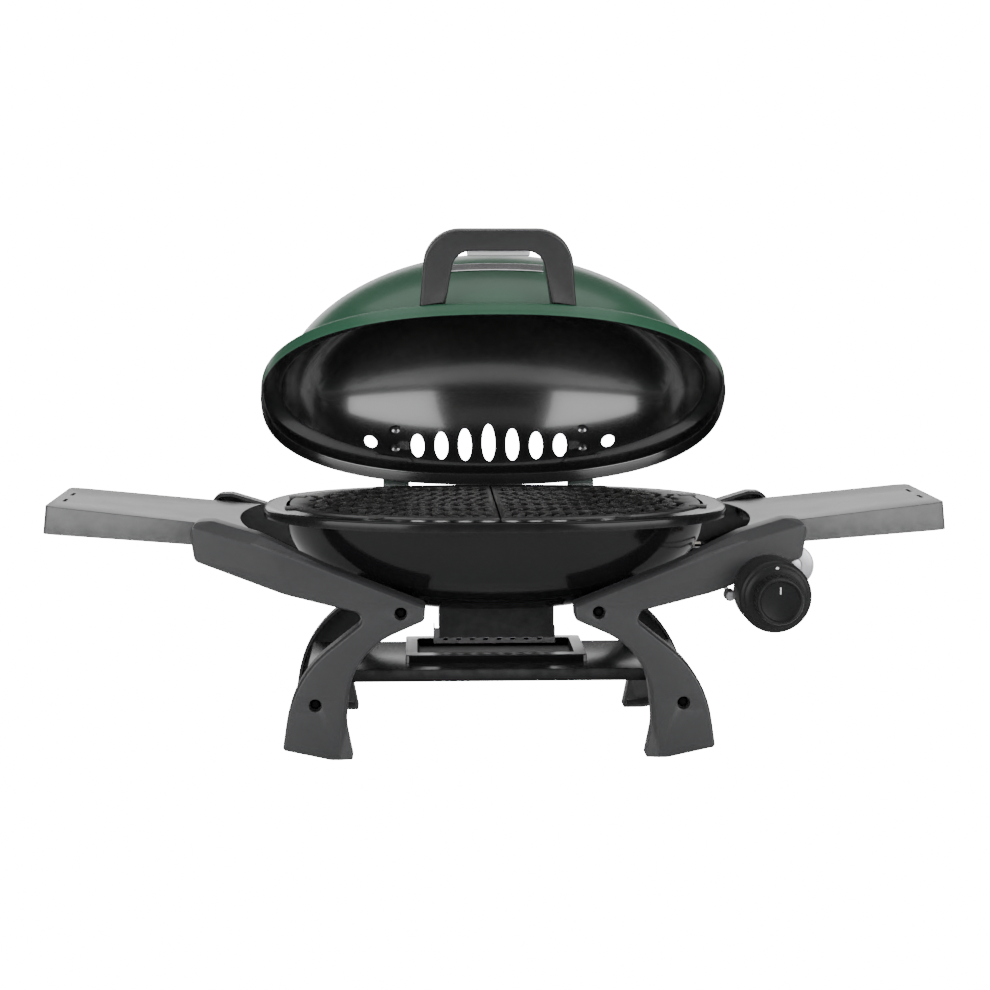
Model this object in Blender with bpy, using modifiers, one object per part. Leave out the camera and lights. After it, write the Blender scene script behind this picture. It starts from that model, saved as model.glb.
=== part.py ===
"""Folding table-top camp grill: +X to the right, +Y to the back, +Z up, feet on z = 0, in metres."""

from math import atan2, cos, pi, radians, sin, tan

import bmesh
import bpy
from mathutils import Matrix, Vector

MM = 0.001
GAP = 0.3 * MM

# Bowl
RIM_Z = 279 * MM
BOWL_HALF = (251 * MM, 168 * MM)
RIM_HALF = (276 * MM, 193 * MM)
BOWL_DEPTH = 124 * MM
LIP_HEIGHT = 11 * MM
PLAN_POWER = 2.4
BOWL_POWER = 2.3
SHEET = 1.2 * MM
NECK_HALF = (68 * MM, 54 * MM)
NECK_Z = (124 * MM, 161 * MM)

# Lid, modelled closed and then turned open about its hinge
LID_HALF = (282 * MM, 198 * MM)
LID_Z = RIM_Z - 8 * MM
SKIRT_HEIGHT = 20 * MM
LEDGE = 24 * MM
DOME_HEIGHT = 174 * MM
DOME_POWER = 1.75
DOME_PLAN = 2.0
HINGE_Y = 211 * MM
HINGE_Z = 260 * MM
LID_OPEN = radians(35.8)
HINGE_X = 120 * MM

# Frames: corners of the outline as (distance from the middle, height, corner radius)
FRAME_Y = (121 * MM, 153 * MM)
FRAME_WALL = 3.5 * MM
FRAME_CORNERS = (
    (84.5, 179, 4),
    (86, 161, 7),
    (168, 125, 115),
    (176, 40, 60),
    (168, 0, 2),
    (194, 0, 30),
    (249, 12, 4),
    (236.5, 96, 130),
    (147.8, 167, 9),
    (245, 192, 150),
    (346, 231, 9),
    (353, 276, 20),
    (325, 277, 20),
    (273, 261, 60),
    (200, 225, 150),
)
NODE_HOLE = (113 * MM, 170 * MM)
LEG_HOLE = (211 * MM, 64.5 * MM)
PIVOT = (324 * MM, 249 * MM)
COUNTERBORE = 7.4 * MM
SCREW_R = 3 * MM
PIN_R = 4 * MM

# Side tables, in the pivot's own axes: u runs outward from the pivot
TABLE_LENGTH = 201 * MM
TABLE_INNER = -18 * MM
TABLE_ARC = 385 * MM
TABLE_HALF = (112 * MM, 99 * MM)
TABLE_TOP = 19 * MM
TABLE_TILT = radians(6)
TABLE_SHEET = 1.6 * MM

# Shelf and drip tray
SHELF_Z = 93 * MM
SHELF_HALF = (223 * MM, 92 * MM)
SHELF_FLANGE = 40 * MM
SHELF_NOTCH = (180 * MM, 14 * MM)
TRAY_X = 108 * MM
TRAY_Y = (-50 * MM, 78 * MM)
TRAY_HEIGHT = 9 * MM

# Control group
CONTROL = (307 * MM, 195 * MM)
HOUSING_R = 41 * MM
HOUSING_Y = (-205 * MM, -153.6 * MM)
KNOB_R = 27 * MM
REGULATOR = (341 * MM, 217 * MM)
REGULATOR_R = 25 * MM
BURNER_Z = 212 * MM

# Moves the whole grill so that the origin is the middle of its box
CENTRE_SHIFT = 6 * MM

for leftover in list(bpy.data.objects):
    bpy.data.objects.remove(leftover)

PARTS = bpy.data.collections.new("folding_camp_grill")
CUTTERS = bpy.data.collections.new("cutters")
bpy.context.scene.collection.children.link(PARTS)
bpy.context.scene.collection.children.link(CUTTERS)


def material(name, colour, roughness, metallic):
    made = bpy.data.materials.new(name)
    made.use_nodes = True
    shader = made.node_tree.nodes["Principled BSDF"]
    shader.inputs["Base Color"].default_value = (*colour, 1)
    shader.inputs["Roughness"].default_value = roughness
    shader.inputs["Metallic"].default_value = metallic
    return made


LOOKS = {
    "green": material("green_enamel", (0.10, 0.28, 0.17), 0.25, 0.0),
    "black": material("black_enamel", (0.015, 0.015, 0.017), 0.2, 0.0),
    "frame": material("frame_plastic", (0.06, 0.062, 0.068), 0.5, 0.0),
    "table": material("table_plastic", (0.16, 0.165, 0.175), 0.45, 0.0),
    "iron": material("cast_iron", (0.02, 0.02, 0.022), 0.6, 0.0),
    "steel": material("bright_steel", (0.7, 0.7, 0.7), 0.3, 1.0),
    "zinc": material("zinc_plate", (0.5, 0.5, 0.52), 0.4, 1.0),
    "brass": material("brass", (0.6, 0.45, 0.2), 0.35, 1.0),
    "knob": material("knob_plastic", (0.02, 0.02, 0.022), 0.35, 0.0),
    "ceramic": material("ceramic", (0.85, 0.83, 0.78), 0.4, 0.0),
    "shelf": material("shelf_enamel", (0.05, 0.05, 0.055), 0.25, 0.0),
    "tray": material("tray_steel", (0.45, 0.45, 0.47), 0.35, 1.0),
}


def from_bmesh(name, bm, look):
    """Turn a bmesh into an object: with a look it is a part, without one it is a cutter."""
    mesh = bpy.data.meshes.new(name)
    bm.to_mesh(mesh)
    bm.free()
    made = bpy.data.objects.new(name, mesh)
    return place(made, look)


def place(made, look):
    if look is None:
        made.hide_render = True
        made.display_type = "WIRE"
        CUTTERS.objects.link(made)
        return made
    made.data.materials.clear()
    made.data.materials.append(LOOKS[look])
    PARTS.objects.link(made)
    return made


def box(name, low, high, look=None, open_sides=()):
    """A block between two corners; open_sides names the faces left out, as axis and sign pairs."""
    size = [b - a for a, b in zip(low, high)]
    middle = [(a + b) / 2 for a, b in zip(low, high)]
    bm = bmesh.new()
    bmesh.ops.create_cube(bm, size=1)
    gone = [f for f in bm.faces for axis, sign in open_sides if f.normal[axis] * sign > 0.9]
    bmesh.ops.delete(bm, geom=gone, context="FACES_ONLY")
    bmesh.ops.scale(bm, vec=size, verts=bm.verts)
    bmesh.ops.translate(bm, vec=middle, verts=bm.verts)
    return from_bmesh(name, bm, look)


def modifier(target, name, kind, **values):
    made = target.modifiers.new(name, kind)
    for key, value in values.items():
        setattr(made, key, value)
    return made


def solidify(target, thickness, offset=-1):
    modifier(target, "sheet", "SOLIDIFY", thickness=thickness, offset=offset, use_even_offset=True)


def bevel(target, width, segments=2, angle=40):
    modifier(
        target, "rounded", "BEVEL", width=width, segments=segments, limit_method="ANGLE",
        angle_limit=radians(angle),
    )


def boolean(target, operand, operation="DIFFERENCE"):
    modifier(target, operand.name, "BOOLEAN", operation=operation, object=operand, solver="EXACT")


def turned(name, profile, place_at, axis, look=None, steps=16):
    """Turn a profile of (radius, height) pairs, given top to bottom, about an axis through place_at."""
    bm = bmesh.new()
    closed = profile[0][0] > 0 and profile[-1][0] > 0
    points = [bm.verts.new((r, 0, h)) for r, h in profile]
    pairs = list(zip(points, points[1:]))
    if closed:
        pairs.append((points[-1], points[0]))
    for a, b in pairs:
        bm.edges.new((a, b))
    made = from_bmesh(name, bm, look)
    modifier(
        made, "turn", "SCREW", steps=steps, render_steps=steps, use_merge_vertices=True,
        merge_threshold=0.00001, use_normal_calculate=False,
    )
    made.rotation_mode = "QUATERNION"
    made.rotation_quaternion = Vector(axis).to_track_quat("Z", "Y")
    made.location = place_at
    return made


def rod(name, start, end, radius, look=None, steps=16):
    """A plain round bar between two points."""
    start = Vector(start)
    along = Vector(end) - start
    profile = [(0, along.length), (radius, along.length), (radius, 0), (0, 0)]
    return turned(name, profile, start, along, look, steps)


def as_mesh(source, name, look=None):
    """Replace a curve or a modified object with the closed mesh that it evaluates to."""
    bpy.context.view_layer.update()
    evaluated = source.evaluated_get(bpy.context.evaluated_depsgraph_get())
    mesh = bpy.data.meshes.new_from_object(evaluated)
    bm = bmesh.new()
    bm.from_mesh(mesh)
    bmesh.ops.remove_doubles(bm, verts=bm.verts, dist=0.000001)
    bm.to_mesh(mesh)
    bm.free()
    where = source.matrix_world.copy()
    bpy.data.objects.remove(source)
    made = bpy.data.objects.new(name, mesh)
    made.matrix_world = where
    return place(made, look)


def tube(name, points, radius, look, cyclic=False):
    """A round wire or pipe along points."""
    curve = bpy.data.curves.new(name, "CURVE")
    curve.dimensions = "3D"
    curve.bevel_depth = radius
    curve.bevel_resolution = 2
    curve.use_fill_caps = not cyclic
    spline = curve.splines.new("POLY")
    spline.points.add(len(points) - 1)
    for slot, point in zip(spline.points, points):
        slot.co = (*point, 1)
    spline.use_cyclic_u = cyclic
    return place(bpy.data.objects.new(name, curve), look)


def smooth_path(points, steps):
    """Points along a Catmull-Rom curve through the given points."""
    points = [Vector(p) for p in points]
    padded = [points[0] * 2 - points[1], *points, points[-1] * 2 - points[-2]]
    path = []
    for a, b, c, d in zip(padded, padded[1:], padded[2:], padded[3:]):
        for i in range(steps):
            t = i / steps
            path.append(
                (b * 2 + (c - a) * t + (a * 2 - b * 5 + c * 4 - d) * t**2 + (b * 3 - a - c * 3 + d) * t**3) / 2
            )
    path.append(points[-1])
    return path


def rounded_outline(corners, step=radians(26)):
    """The outline through (x, y, radius) corners, each corner an arc."""
    outline = []
    count = len(corners)
    for i, (x, y, radius) in enumerate(corners):
        here = Vector((x, y))
        before = Vector(corners[i - 1][:2]) - here
        after = Vector(corners[(i + 1) % count][:2]) - here
        turn = pi - before.angle(after)
        reach = min(radius * tan(turn / 2), 0.6 * before.length, 0.6 * after.length)
        radius = reach / tan(turn / 2)
        start = here + before.normalized() * reach
        end = here + after.normalized() * reach
        inward = (before.normalized() + after.normalized()).normalized()
        centre = here + inward * (radius / cos(turn / 2))
        pieces = max(1, round(turn / step))
        first = start - centre
        swing = first.angle_signed(end - centre)
        for j in range(pieces + 1):
            arm = first.copy()
            arm.rotate(Matrix.Rotation(-swing * j / pieces, 2))
            outline.append(centre + arm)
    return outline


def flat(name, outlines, half_thickness, look=None):
    """A flat plate in the local XY plane from one outer outline and any holes."""
    curve = bpy.data.curves.new(name, "CURVE")
    curve.dimensions = "2D"
    curve.fill_mode = "BOTH" if half_thickness else "FRONT"
    curve.extrude = half_thickness
    for outline in outlines:
        spline = curve.splines.new("POLY")
        spline.points.add(len(outline) - 1)
        for slot, point in zip(spline.points, outline):
            slot.co = (point[0], point[1], 0, 1)
        spline.use_cyclic_u = True
    return as_mesh(place(bpy.data.objects.new(name + "_outline", curve), None), name, look)


def stand_up(target, y):
    """Lay a plate's XY plane into XZ, facing the front, at the given y."""
    target.matrix_world = Matrix.Translation((0, y, 0)) @ Matrix.Rotation(radians(90), 4, "X")


def mirrored(source, name, look, axis=0, origin=(0, 0, 0)):
    """A mirror copy of a finished part across the plane through the origin, with its own origin."""
    bpy.context.view_layer.update()
    mesh = bpy.data.meshes.new_from_object(source.evaluated_get(bpy.context.evaluated_depsgraph_get()))
    flip = Matrix.Scale(-1, 4, Vector([float(i == axis) for i in range(3)]))
    mesh.transform(Matrix.Translation(-Vector(origin)) @ flip @ source.matrix_world)
    mesh.flip_normals()
    made = bpy.data.objects.new(name, mesh)
    made.location = origin
    return place(made, look)


def signed_power(value, power):
    return abs(value) ** power * (1 if value >= 0 else -1)


def oval_point(half, angle, plan=PLAN_POWER):
    """A point on a rounded oval; the higher the plan power, the squarer the oval."""
    return half[0] * signed_power(cos(angle), 2 / plan), half[1] * signed_power(sin(angle), 2 / plan)


def oval_angle(half, point, plan=PLAN_POWER):
    """The angle that gives oval_point's point."""
    up = signed_power(point.y / half[1], plan / 2)
    return atan2(up, signed_power(point.x / half[0], plan / 2))


def dome_mesh(half, height, power, base_z, plan=PLAN_POWER, sectors=32, rings=6):
    """Half a ball pulled onto the rounded oval; a negative height makes a bowl."""
    bm = bmesh.new()
    bmesh.ops.create_uvsphere(bm, u_segments=sectors, v_segments=2 * rings, radius=1)
    bmesh.ops.delete(bm, geom=[v for v in bm.verts if v.co.z < -0.001], context="VERTS")
    for v in bm.verts:
        level = max(0.0, min(1.0, v.co.z))
        reach = (1 - level * level) ** (1 / power)
        x, y = oval_point(half, atan2(v.co.y, v.co.x), plan)
        v.co = (x * reach, y * reach, base_z + height * level ** (2 / power))
    if height < 0:
        bmesh.ops.reverse_faces(bm, faces=bm.faces)
    return bm


def extend_rim(bm, old_half, new_half, z, old_plan=PLAN_POWER):
    """Extrude an oval shell's open edge to another oval at height z."""
    edges = [e for e in bm.edges if e.is_boundary]
    made = bmesh.ops.extrude_edge_only(bm, edges=edges)
    for v in made["geom"]:
        if isinstance(v, bmesh.types.BMVert):
            v.co = (*oval_point(new_half, oval_angle(old_half, v.co, old_plan)), z)


def grown(half, amount):
    return half[0] + amount, half[1] + amount


def closed_body(bm, name):
    """Close an oval shell's open edge with one flat face, for use as a cutter."""
    bmesh.ops.contextual_create(bm, geom=[e for e in bm.edges if e.is_boundary])
    bmesh.ops.recalc_face_normals(bm, faces=bm.faces)
    return from_bmesh(name, bm, None)


def hang_on(name, make, pivot, turn):
    """Make parts at their untilted place, hang them and their cutters on their joint axis, and turn it."""
    before = set(bpy.data.objects)
    make()
    made = [part for part in bpy.data.objects if part not in before]
    axis = bpy.data.objects.new(name, None)
    PARTS.objects.link(axis)
    axis.location = pivot
    for part in made:
        part.parent = axis
        part.matrix_parent_inverse = Matrix.Translation(-Vector(pivot))
    axis.rotation_euler = turn


# Bowl


def make_bowl():
    bm = dome_mesh(BOWL_HALF, -BOWL_DEPTH, BOWL_POWER, RIM_Z - SHEET)
    lip = grown(RIM_HALF, -SHEET)
    extend_rim(bm, BOWL_HALF, lip, RIM_Z - SHEET)
    extend_rim(bm, lip, lip, RIM_Z - LIP_HEIGHT)
    bowl = from_bmesh("bowl_shell", bm, "black")
    solidify(bowl, SHEET)
    neck = [h - SHEET - GAP for h in NECK_HALF]
    mouth = box("bowl_mouth", (-neck[0] + 6 * MM, -neck[1] + 6 * MM, 100 * MM),
                (neck[0] - 6 * MM, neck[1] - 6 * MM, 175 * MM))
    boolean(bowl, mouth)
    boolean(bowl, rod("burner_port", (200 * MM, 0, BURNER_Z), (245 * MM, 0, BURNER_Z), 11 * MM))
    spark = (0, -40 * MM, 234 * MM)
    boolean(bowl, rod("electrode_port", (200 * MM, *spark[1:]), (250 * MM, *spark[1:]), 4.3 * MM, steps=12))

    low, high = NECK_Z
    drain = box("bowl_neck", (-NECK_HALF[0], -NECK_HALF[1], low), (*NECK_HALF, high), "black",
                ((2, 1), (2, -1)))
    solidify(drain, SHEET)
    grown_half = grown(BOWL_HALF, GAP)
    skin = closed_body(dome_mesh(grown_half, -BOWL_DEPTH - GAP, BOWL_POWER, RIM_Z - SHEET), "bowl_skin")
    boolean(drain, skin)
    return skin


def make_vent_plate():
    plate = box(
        "vent_plate", (-74 * MM, 14 * MM, 104.5 * MM), (74 * MM, 50 * MM, 123.6 * MM), "zinc",
        ((2, 1), (2, -1), (1, 1)),
    )
    solidify(plate, 1.5 * MM)
    bars = bmesh.new()
    for i in range(8):
        made = bmesh.ops.create_cube(bars, size=1)["verts"]
        bmesh.ops.scale(bars, vec=(6 * MM, 12 * MM, 12 * MM), verts=made)
        for v in made:
            v.co.x += 0.5 * v.co.z + (i - 3.5) * 16.4 * MM
        bmesh.ops.translate(bars, vec=(0, 14 * MM, 114 * MM), verts=made)
    boolean(plate, from_bmesh("vent_slots", bars, None))


def make_burner():
    points = []
    for i in range(28):
        x, y = oval_point((150 * MM, 74 * MM), 2 * pi * i / 28)
        points.append((x, y, BURNER_Z))
    tube("burner", points, 8 * MM, "steel", cyclic=True)
    for side, name in ((-1, "burner_bracket_front"), (1, "burner_bracket_back")):
        y = side * 74 * MM
        low = (-12 * MM, min(y - 2 * MM, y + 2 * MM), 168 * MM)
        post = box(name, low, (12 * MM, low[1] + 4 * MM, BURNER_Z - 8.6 * MM), "steel")
        bevel(post, 0.8 * MM, 1)
    profile = [(8.5 * MM, 79 * MM), (10 * MM, 77 * MM), (8 * MM, 60 * MM), (8 * MM, 0), (6.5 * MM, 0),
               (6.5 * MM, 76 * MM)]
    turned("venturi_tube", profile, (158.6 * MM, 0, BURNER_Z), (1, 0, 0), "steel")
    sleeve = [(10 * MM, 14 * MM), (12 * MM, 12 * MM), (12 * MM, 0), (10.6 * MM, 0), (10.6 * MM, 11 * MM),
              (4 * MM, 12 * MM)]
    sleeve.append((4 * MM, 14 * MM))
    turned("air_shutter", sleeve, (239 * MM, 0, BURNER_Z), (1, 0, 0), "zinc")
    tip = (178 * MM, -40 * MM, 234 * MM)
    pin = [(0, 66 * MM), (1.6 * MM, 66 * MM), (1.6 * MM, 58 * MM), (4 * MM, 58 * MM), (4 * MM, 10 * MM),
           (1.2 * MM, 8 * MM), (1.2 * MM, 0), (0, 0)]
    turned("electrode", pin, tip, (1, 0, 0), "ceramic", 12)
    lead = ((244.8, -40, 234), (252, -42, 234), (262, -60, 222), (278, -95, 198), (290, -125, 184),
            (292, -153, 180))
    tube("ignition_lead", smooth_path([Vector(p) * MM for p in lead], 3), 1.5 * MM, "knob")


# Lid


def lid_bowl(grow):
    """The lid's skin: dome, ledge and skirt; grow is the distance outside the real one."""
    inner = grown(LID_HALF, grow - LEDGE)
    outer = grown(LID_HALF, grow)
    bm = dome_mesh(inner, DOME_HEIGHT + grow, DOME_POWER, LID_Z + SKIRT_HEIGHT + grow, DOME_PLAN, 36, 7)
    extend_rim(bm, inner, outer, LID_Z + SKIRT_HEIGHT - 3 * MM + grow, DOME_PLAN)
    extend_rim(bm, outer, outer, LID_Z - grow)
    return bm


def make_lid():
    lid = from_bmesh("lid_shell", lid_bowl(0), "green")
    solidify(lid, SHEET)
    wall = LID_HALF[1] - LEDGE
    slots = bmesh.new()
    for i in range(-3, 4):
        tall = (49 - 6 * abs(i)) * MM
        made = bmesh.ops.create_cone(slots, cap_ends=True, segments=12, radius1=0.5, radius2=0.5,
                                     depth=1)["verts"]
        bmesh.ops.rotate(slots, verts=made, matrix=Matrix.Rotation(radians(90), 3, "X"))
        bmesh.ops.scale(slots, vec=(17.2 * MM, 90 * MM, tall), verts=made)
        middle = LID_Z + 21.5 * MM + tall / 2
        bmesh.ops.translate(slots, vec=(i * 30.6 * MM, wall - 5 * MM, middle), verts=made)
    for side in (-1, 1):
        made = bmesh.ops.create_cone(slots, cap_ends=True, segments=12, radius1=8 * MM, radius2=8 * MM,
                                     depth=0.1)["verts"]
        bmesh.ops.rotate(slots, verts=made, matrix=Matrix.Rotation(radians(90), 3, "X"))
        bmesh.ops.translate(slots, vec=(side * 152 * MM, wall - 34 * MM, LID_Z + 31 * MM), verts=made)
        for x, z in ((HINGE_X, LID_Z + 27 * MM), (HINGE_X, LID_Z + 51 * MM)):
            made = bmesh.ops.create_cone(slots, cap_ends=True, segments=8, radius1=2.6 * MM,
                                         radius2=2.6 * MM, depth=0.08)["verts"]
            bmesh.ops.rotate(slots, verts=made, matrix=Matrix.Rotation(radians(90), 3, "X"))
            bmesh.ops.translate(slots, vec=(side * x, wall - 25 * MM, z), verts=made)
    holes = from_bmesh("lid_holes", slots, None)
    boolean(lid, holes)
    skin = closed_body(lid_bowl(GAP), "lid_skin")
    make_handle(skin)
    make_lid_hinges(skin, holes)
    make_bracket_screws()


def make_handle(skin):
    """The arch leans 45 degrees forward from the lid's front; its outline is drawn in its own plane."""
    outer = ((-89, -12, 3), (-86, 15, 25), (-80, 84, 26), (80, 84, 26), (86, 15, 25), (89, -12, 3))
    inner = ((64, -12, 3), (60, 12, 12), (53, 64, 16), (-53, 64, 16), (-60, 12, 12), (-64, -12, 3))
    outline = rounded_outline([(x * MM, y * MM, r * MM) for x, y, r in outer + inner])
    foot = Vector((0, -186 * MM, LID_Z + 24 * MM))
    lean = Matrix.Translation(foot) @ Matrix.Rotation(radians(135), 4, "X")
    handle = flat("lid_handle", [outline], 9.5 * MM, "knob")
    handle.matrix_world = lean
    bevel(handle, 2.5 * MM, 1)
    boolean(handle, skin)
    guard = box("handle_heat_guard", (-36 * MM, 55 * MM, -9 * MM), (36 * MM, 63.7 * MM, 9 * MM), "steel")
    guard.matrix_world = lean
    bevel(guard, 1.5 * MM)
    strip = box("lid_trim_strip", (-57 * MM, -180 * MM, LID_Z + 92 * MM),
                (57 * MM, -110 * MM, LID_Z + 111 * MM), "steel")
    boolean(strip, closed_body(lid_bowl(1.6 * MM), "strip_outside"), "INTERSECT")
    boolean(strip, skin)


def screw(name, at, axis, length, head=6 * MM):
    """A domed screw: its head sits outside at and the shank runs against the axis."""
    shank = 2.2 * MM
    profile = [(0, 3 * MM), (0.6 * head, 2.4 * MM), (head, 0), (shank, 0), (shank, -length), (0, -length)]
    return turned(name, profile, at, axis, "steel", 12)


def make_lid_hinges(skin, holes):
    """Bent straps on the lid's back wall, each with a barrel round its hinge pin."""
    low = HINGE_X - 17 * MM
    path = ((136, 73), (150, 40), (157, 22), (192, 20), (201, 14), (208, -7))
    strap = bmesh.new()
    verts = [[strap.verts.new((low + dx, y * MM, LID_Z + z * MM)) for dx in (0, 34 * MM)] for y, z in path]
    for a, b in zip(verts, verts[1:]):
        strap.faces.new((a[0], a[1], b[1], b[0]))
    plate = from_bmesh("lid_hinge_bracket_right", strap, "steel")
    solidify(plate, 6 * MM, offset=1)
    boolean(plate, skin)
    boolean(plate, holes)
    barrel = rod("hinge_barrel", (low, HINGE_Y, HINGE_Z), (low + 34 * MM, HINGE_Y, HINGE_Z), 8 * MM)
    boolean(plate, barrel, "UNION")
    bore = rod("hinge_bore", (low - 5 * MM, HINGE_Y, HINGE_Z), (low + 40 * MM, HINGE_Y, HINGE_Z),
               PIN_R + 0.2 * MM)
    boolean(plate, bore)
    mirrored(plate, "lid_hinge_bracket_left", "steel")


# Bowl hinges


def make_bowl_hinge(skin):
    wide = HINGE_X - 24 * MM
    low, high = HINGE_Z - 9 * MM, HINGE_Z + 6.5 * MM
    ears = box(
        "bowl_hinge_bracket_right", (wide, 188 * MM, low), (wide + 48 * MM, 220 * MM, high), "steel",
        ((2, 1), (2, -1), (1, 1)),
    )
    solidify(ears, 2.5 * MM)
    arm = box("hinge_arm", (wide + 6 * MM, 140 * MM, low + 1 * MM), (wide + 42 * MM, 190 * MM, high - 2 * MM))
    boolean(ears, arm, "UNION")
    boolean(ears, skin)
    bore = rod("bracket_bore", (wide - 5 * MM, HINGE_Y, HINGE_Z), (wide + 55 * MM, HINGE_Y, HINGE_Z),
               PIN_R + 0.2 * MM)
    boolean(ears, bore)
    mirrored(ears, "bowl_hinge_bracket_left", "steel")
    head = 6.5 * MM
    length = 52 * MM
    profile = [(0, length), (PIN_R, length), (PIN_R, 0), (head, 0), (head, -2 * MM), (0, -2 * MM)]
    start = (wide - 0.4 * MM, HINGE_Y, HINGE_Z)
    pin = turned("hinge_pin_right", profile, start, (1, 0, 0), "steel")
    mirrored(pin, "hinge_pin_left", "steel")


def make_bracket_screws():
    """Screws through the lid's back wall into the hinge straps, heads inside the lid."""
    for side, word in ((-1, "left"), (1, "right")):
        for z, y, level in ((27, 147, "lower"), (51, 141, "upper")):
            screw(f"hinge_screw_{level}_{word}", (side * HINGE_X, y * MM, LID_Z + z * MM), (0, -1, 0), 9 * MM)


# Frames


def make_frames():
    outline = rounded_outline([(x * MM, z * MM, r * MM) for x, z, r in FRAME_CORNERS])
    face = flat("frame_face", [outline], 0)
    bm = bmesh.new()
    bm.from_mesh(face.data)
    bmesh.ops.recalc_face_normals(bm, faces=bm.faces)
    if sum(f.normal.z for f in bm.faces) < 0:
        bmesh.ops.reverse_faces(bm, faces=bm.faces)
    made = bmesh.ops.extrude_edge_only(bm, edges=[e for e in bm.edges if e.is_boundary])["geom"]
    depth = FRAME_Y[1] - FRAME_Y[0]
    bmesh.ops.translate(bm, vec=(0, 0, -depth), verts=[v for v in made if isinstance(v, bmesh.types.BMVert)])
    bpy.data.objects.remove(face)
    frame = from_bmesh("front_right_frame", bm, "frame")
    stand_up(frame, -FRAME_Y[1])
    solidify(frame, FRAME_WALL)

    inner = -FRAME_Y[0]
    outer = -FRAME_Y[1]
    bosses = bmesh.new()
    holes = bmesh.new()

    def disc(bm, at, radius, low, high, steps=10):
        around = radius / cos(pi / steps)
        made = bmesh.ops.create_cone(bm, cap_ends=True, segments=steps, radius1=around, radius2=around,
                                     depth=high - low)
        turn = Matrix.Translation((at[0], (low + high) / 2, at[1])) @ Matrix.Rotation(radians(90), 4, "X")
        bmesh.ops.transform(bm, matrix=turn, verts=made["verts"])

    disc(bosses, NODE_HOLE, 11 * MM, outer + 1 * MM, inner)
    disc(bosses, LEG_HOLE, 11 * MM, outer + 1 * MM, inner)
    disc(bosses, PIVOT, 9 * MM, outer + 1 * MM, inner)
    boolean(frame, from_bmesh("bosses", bosses, None), "UNION")
    for at in (NODE_HOLE, LEG_HOLE):
        disc(holes, at, SCREW_R + GAP, outer - 5 * MM, inner + 5 * MM)
    disc(holes, PIVOT, PIN_R + GAP, outer + 6 * MM, inner + 5 * MM)
    boolean(frame, from_bmesh("frame_holes", holes, None))
    sinks = bmesh.new()
    for at in (NODE_HOLE, LEG_HOLE):
        disc(sinks, at, COUNTERBORE, outer - 5 * MM, outer + 12 * MM)
    boolean(frame, from_bmesh("counterbores", sinks, None))
    frame = as_mesh(frame, "front_right_frame", "frame")
    mirrored(frame, "front_left_frame", "frame")
    back = mirrored(frame, "rear_right_frame", "frame", 1)
    mirrored(back, "rear_left_frame", "frame")


def four_corners(part, stem, look):
    """Three mirror copies of a front right piece, named by corner."""
    mirrored(part, f"{stem}_front_left", look)
    back = mirrored(part, f"{stem}_rear_right", look, 1)
    mirrored(back, f"{stem}_rear_left", look)


def make_frame_fasteners(skin):
    shank = SCREW_R
    seat = -FRAME_Y[1] + 12 * MM - GAP
    node_length = 30 * MM
    profile = [(0, 4 * MM), (4 * MM, 3.4 * MM), (6.4 * MM, 0), (shank, 0), (shank, -node_length),
               (0, -node_length)]
    node = turned("node_screw_front_right", profile, (NODE_HOLE[0], seat, NODE_HOLE[1]), (0, -1, 0),
                  "steel", 12)
    four_corners(node, "node_screw", "steel")
    leg = turned("leg_screw_front_right", profile, (LEG_HOLE[0], seat, LEG_HOLE[1]), (0, -1, 0), "steel", 12)
    four_corners(leg, "leg_screw", "steel")
    end = FRAME_Y[0] - GAP
    bore = shank + GAP
    walls = [(7 * MM, 2 * end), (7 * MM, 0), (bore, 0), (bore, 2 * end)]
    tie = turned("tie_rod_right", walls, (LEG_HOLE[0], -end, LEG_HOLE[1]), (0, 1, 0), "steel", 14)
    mirrored(tie, "tie_rod_left", "steel")

    y = -FRAME_Y[0] + GAP
    bracket = box(
        "bowl_bracket_front_right", (NODE_HOLE[0] - 14 * MM, y, 160 * MM),
        (NODE_HOLE[0] + 14 * MM, -88 * MM, 180 * MM),
        "steel", ((0, 1), (0, -1), (2, -1), (1, 1)),
    )
    solidify(bracket, 2 * MM)
    hole = rod("bracket_hole", (NODE_HOLE[0], y - 5 * MM, NODE_HOLE[1]),
               (NODE_HOLE[0], y + 8 * MM, NODE_HOLE[1]), shank + GAP, steps=12)
    boolean(bracket, hole)
    boolean(bracket, skin)
    bracket = as_mesh(bracket, "bowl_bracket_front_right", "steel")
    four_corners(bracket, "bowl_bracket", "steel")


# Side tables


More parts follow.
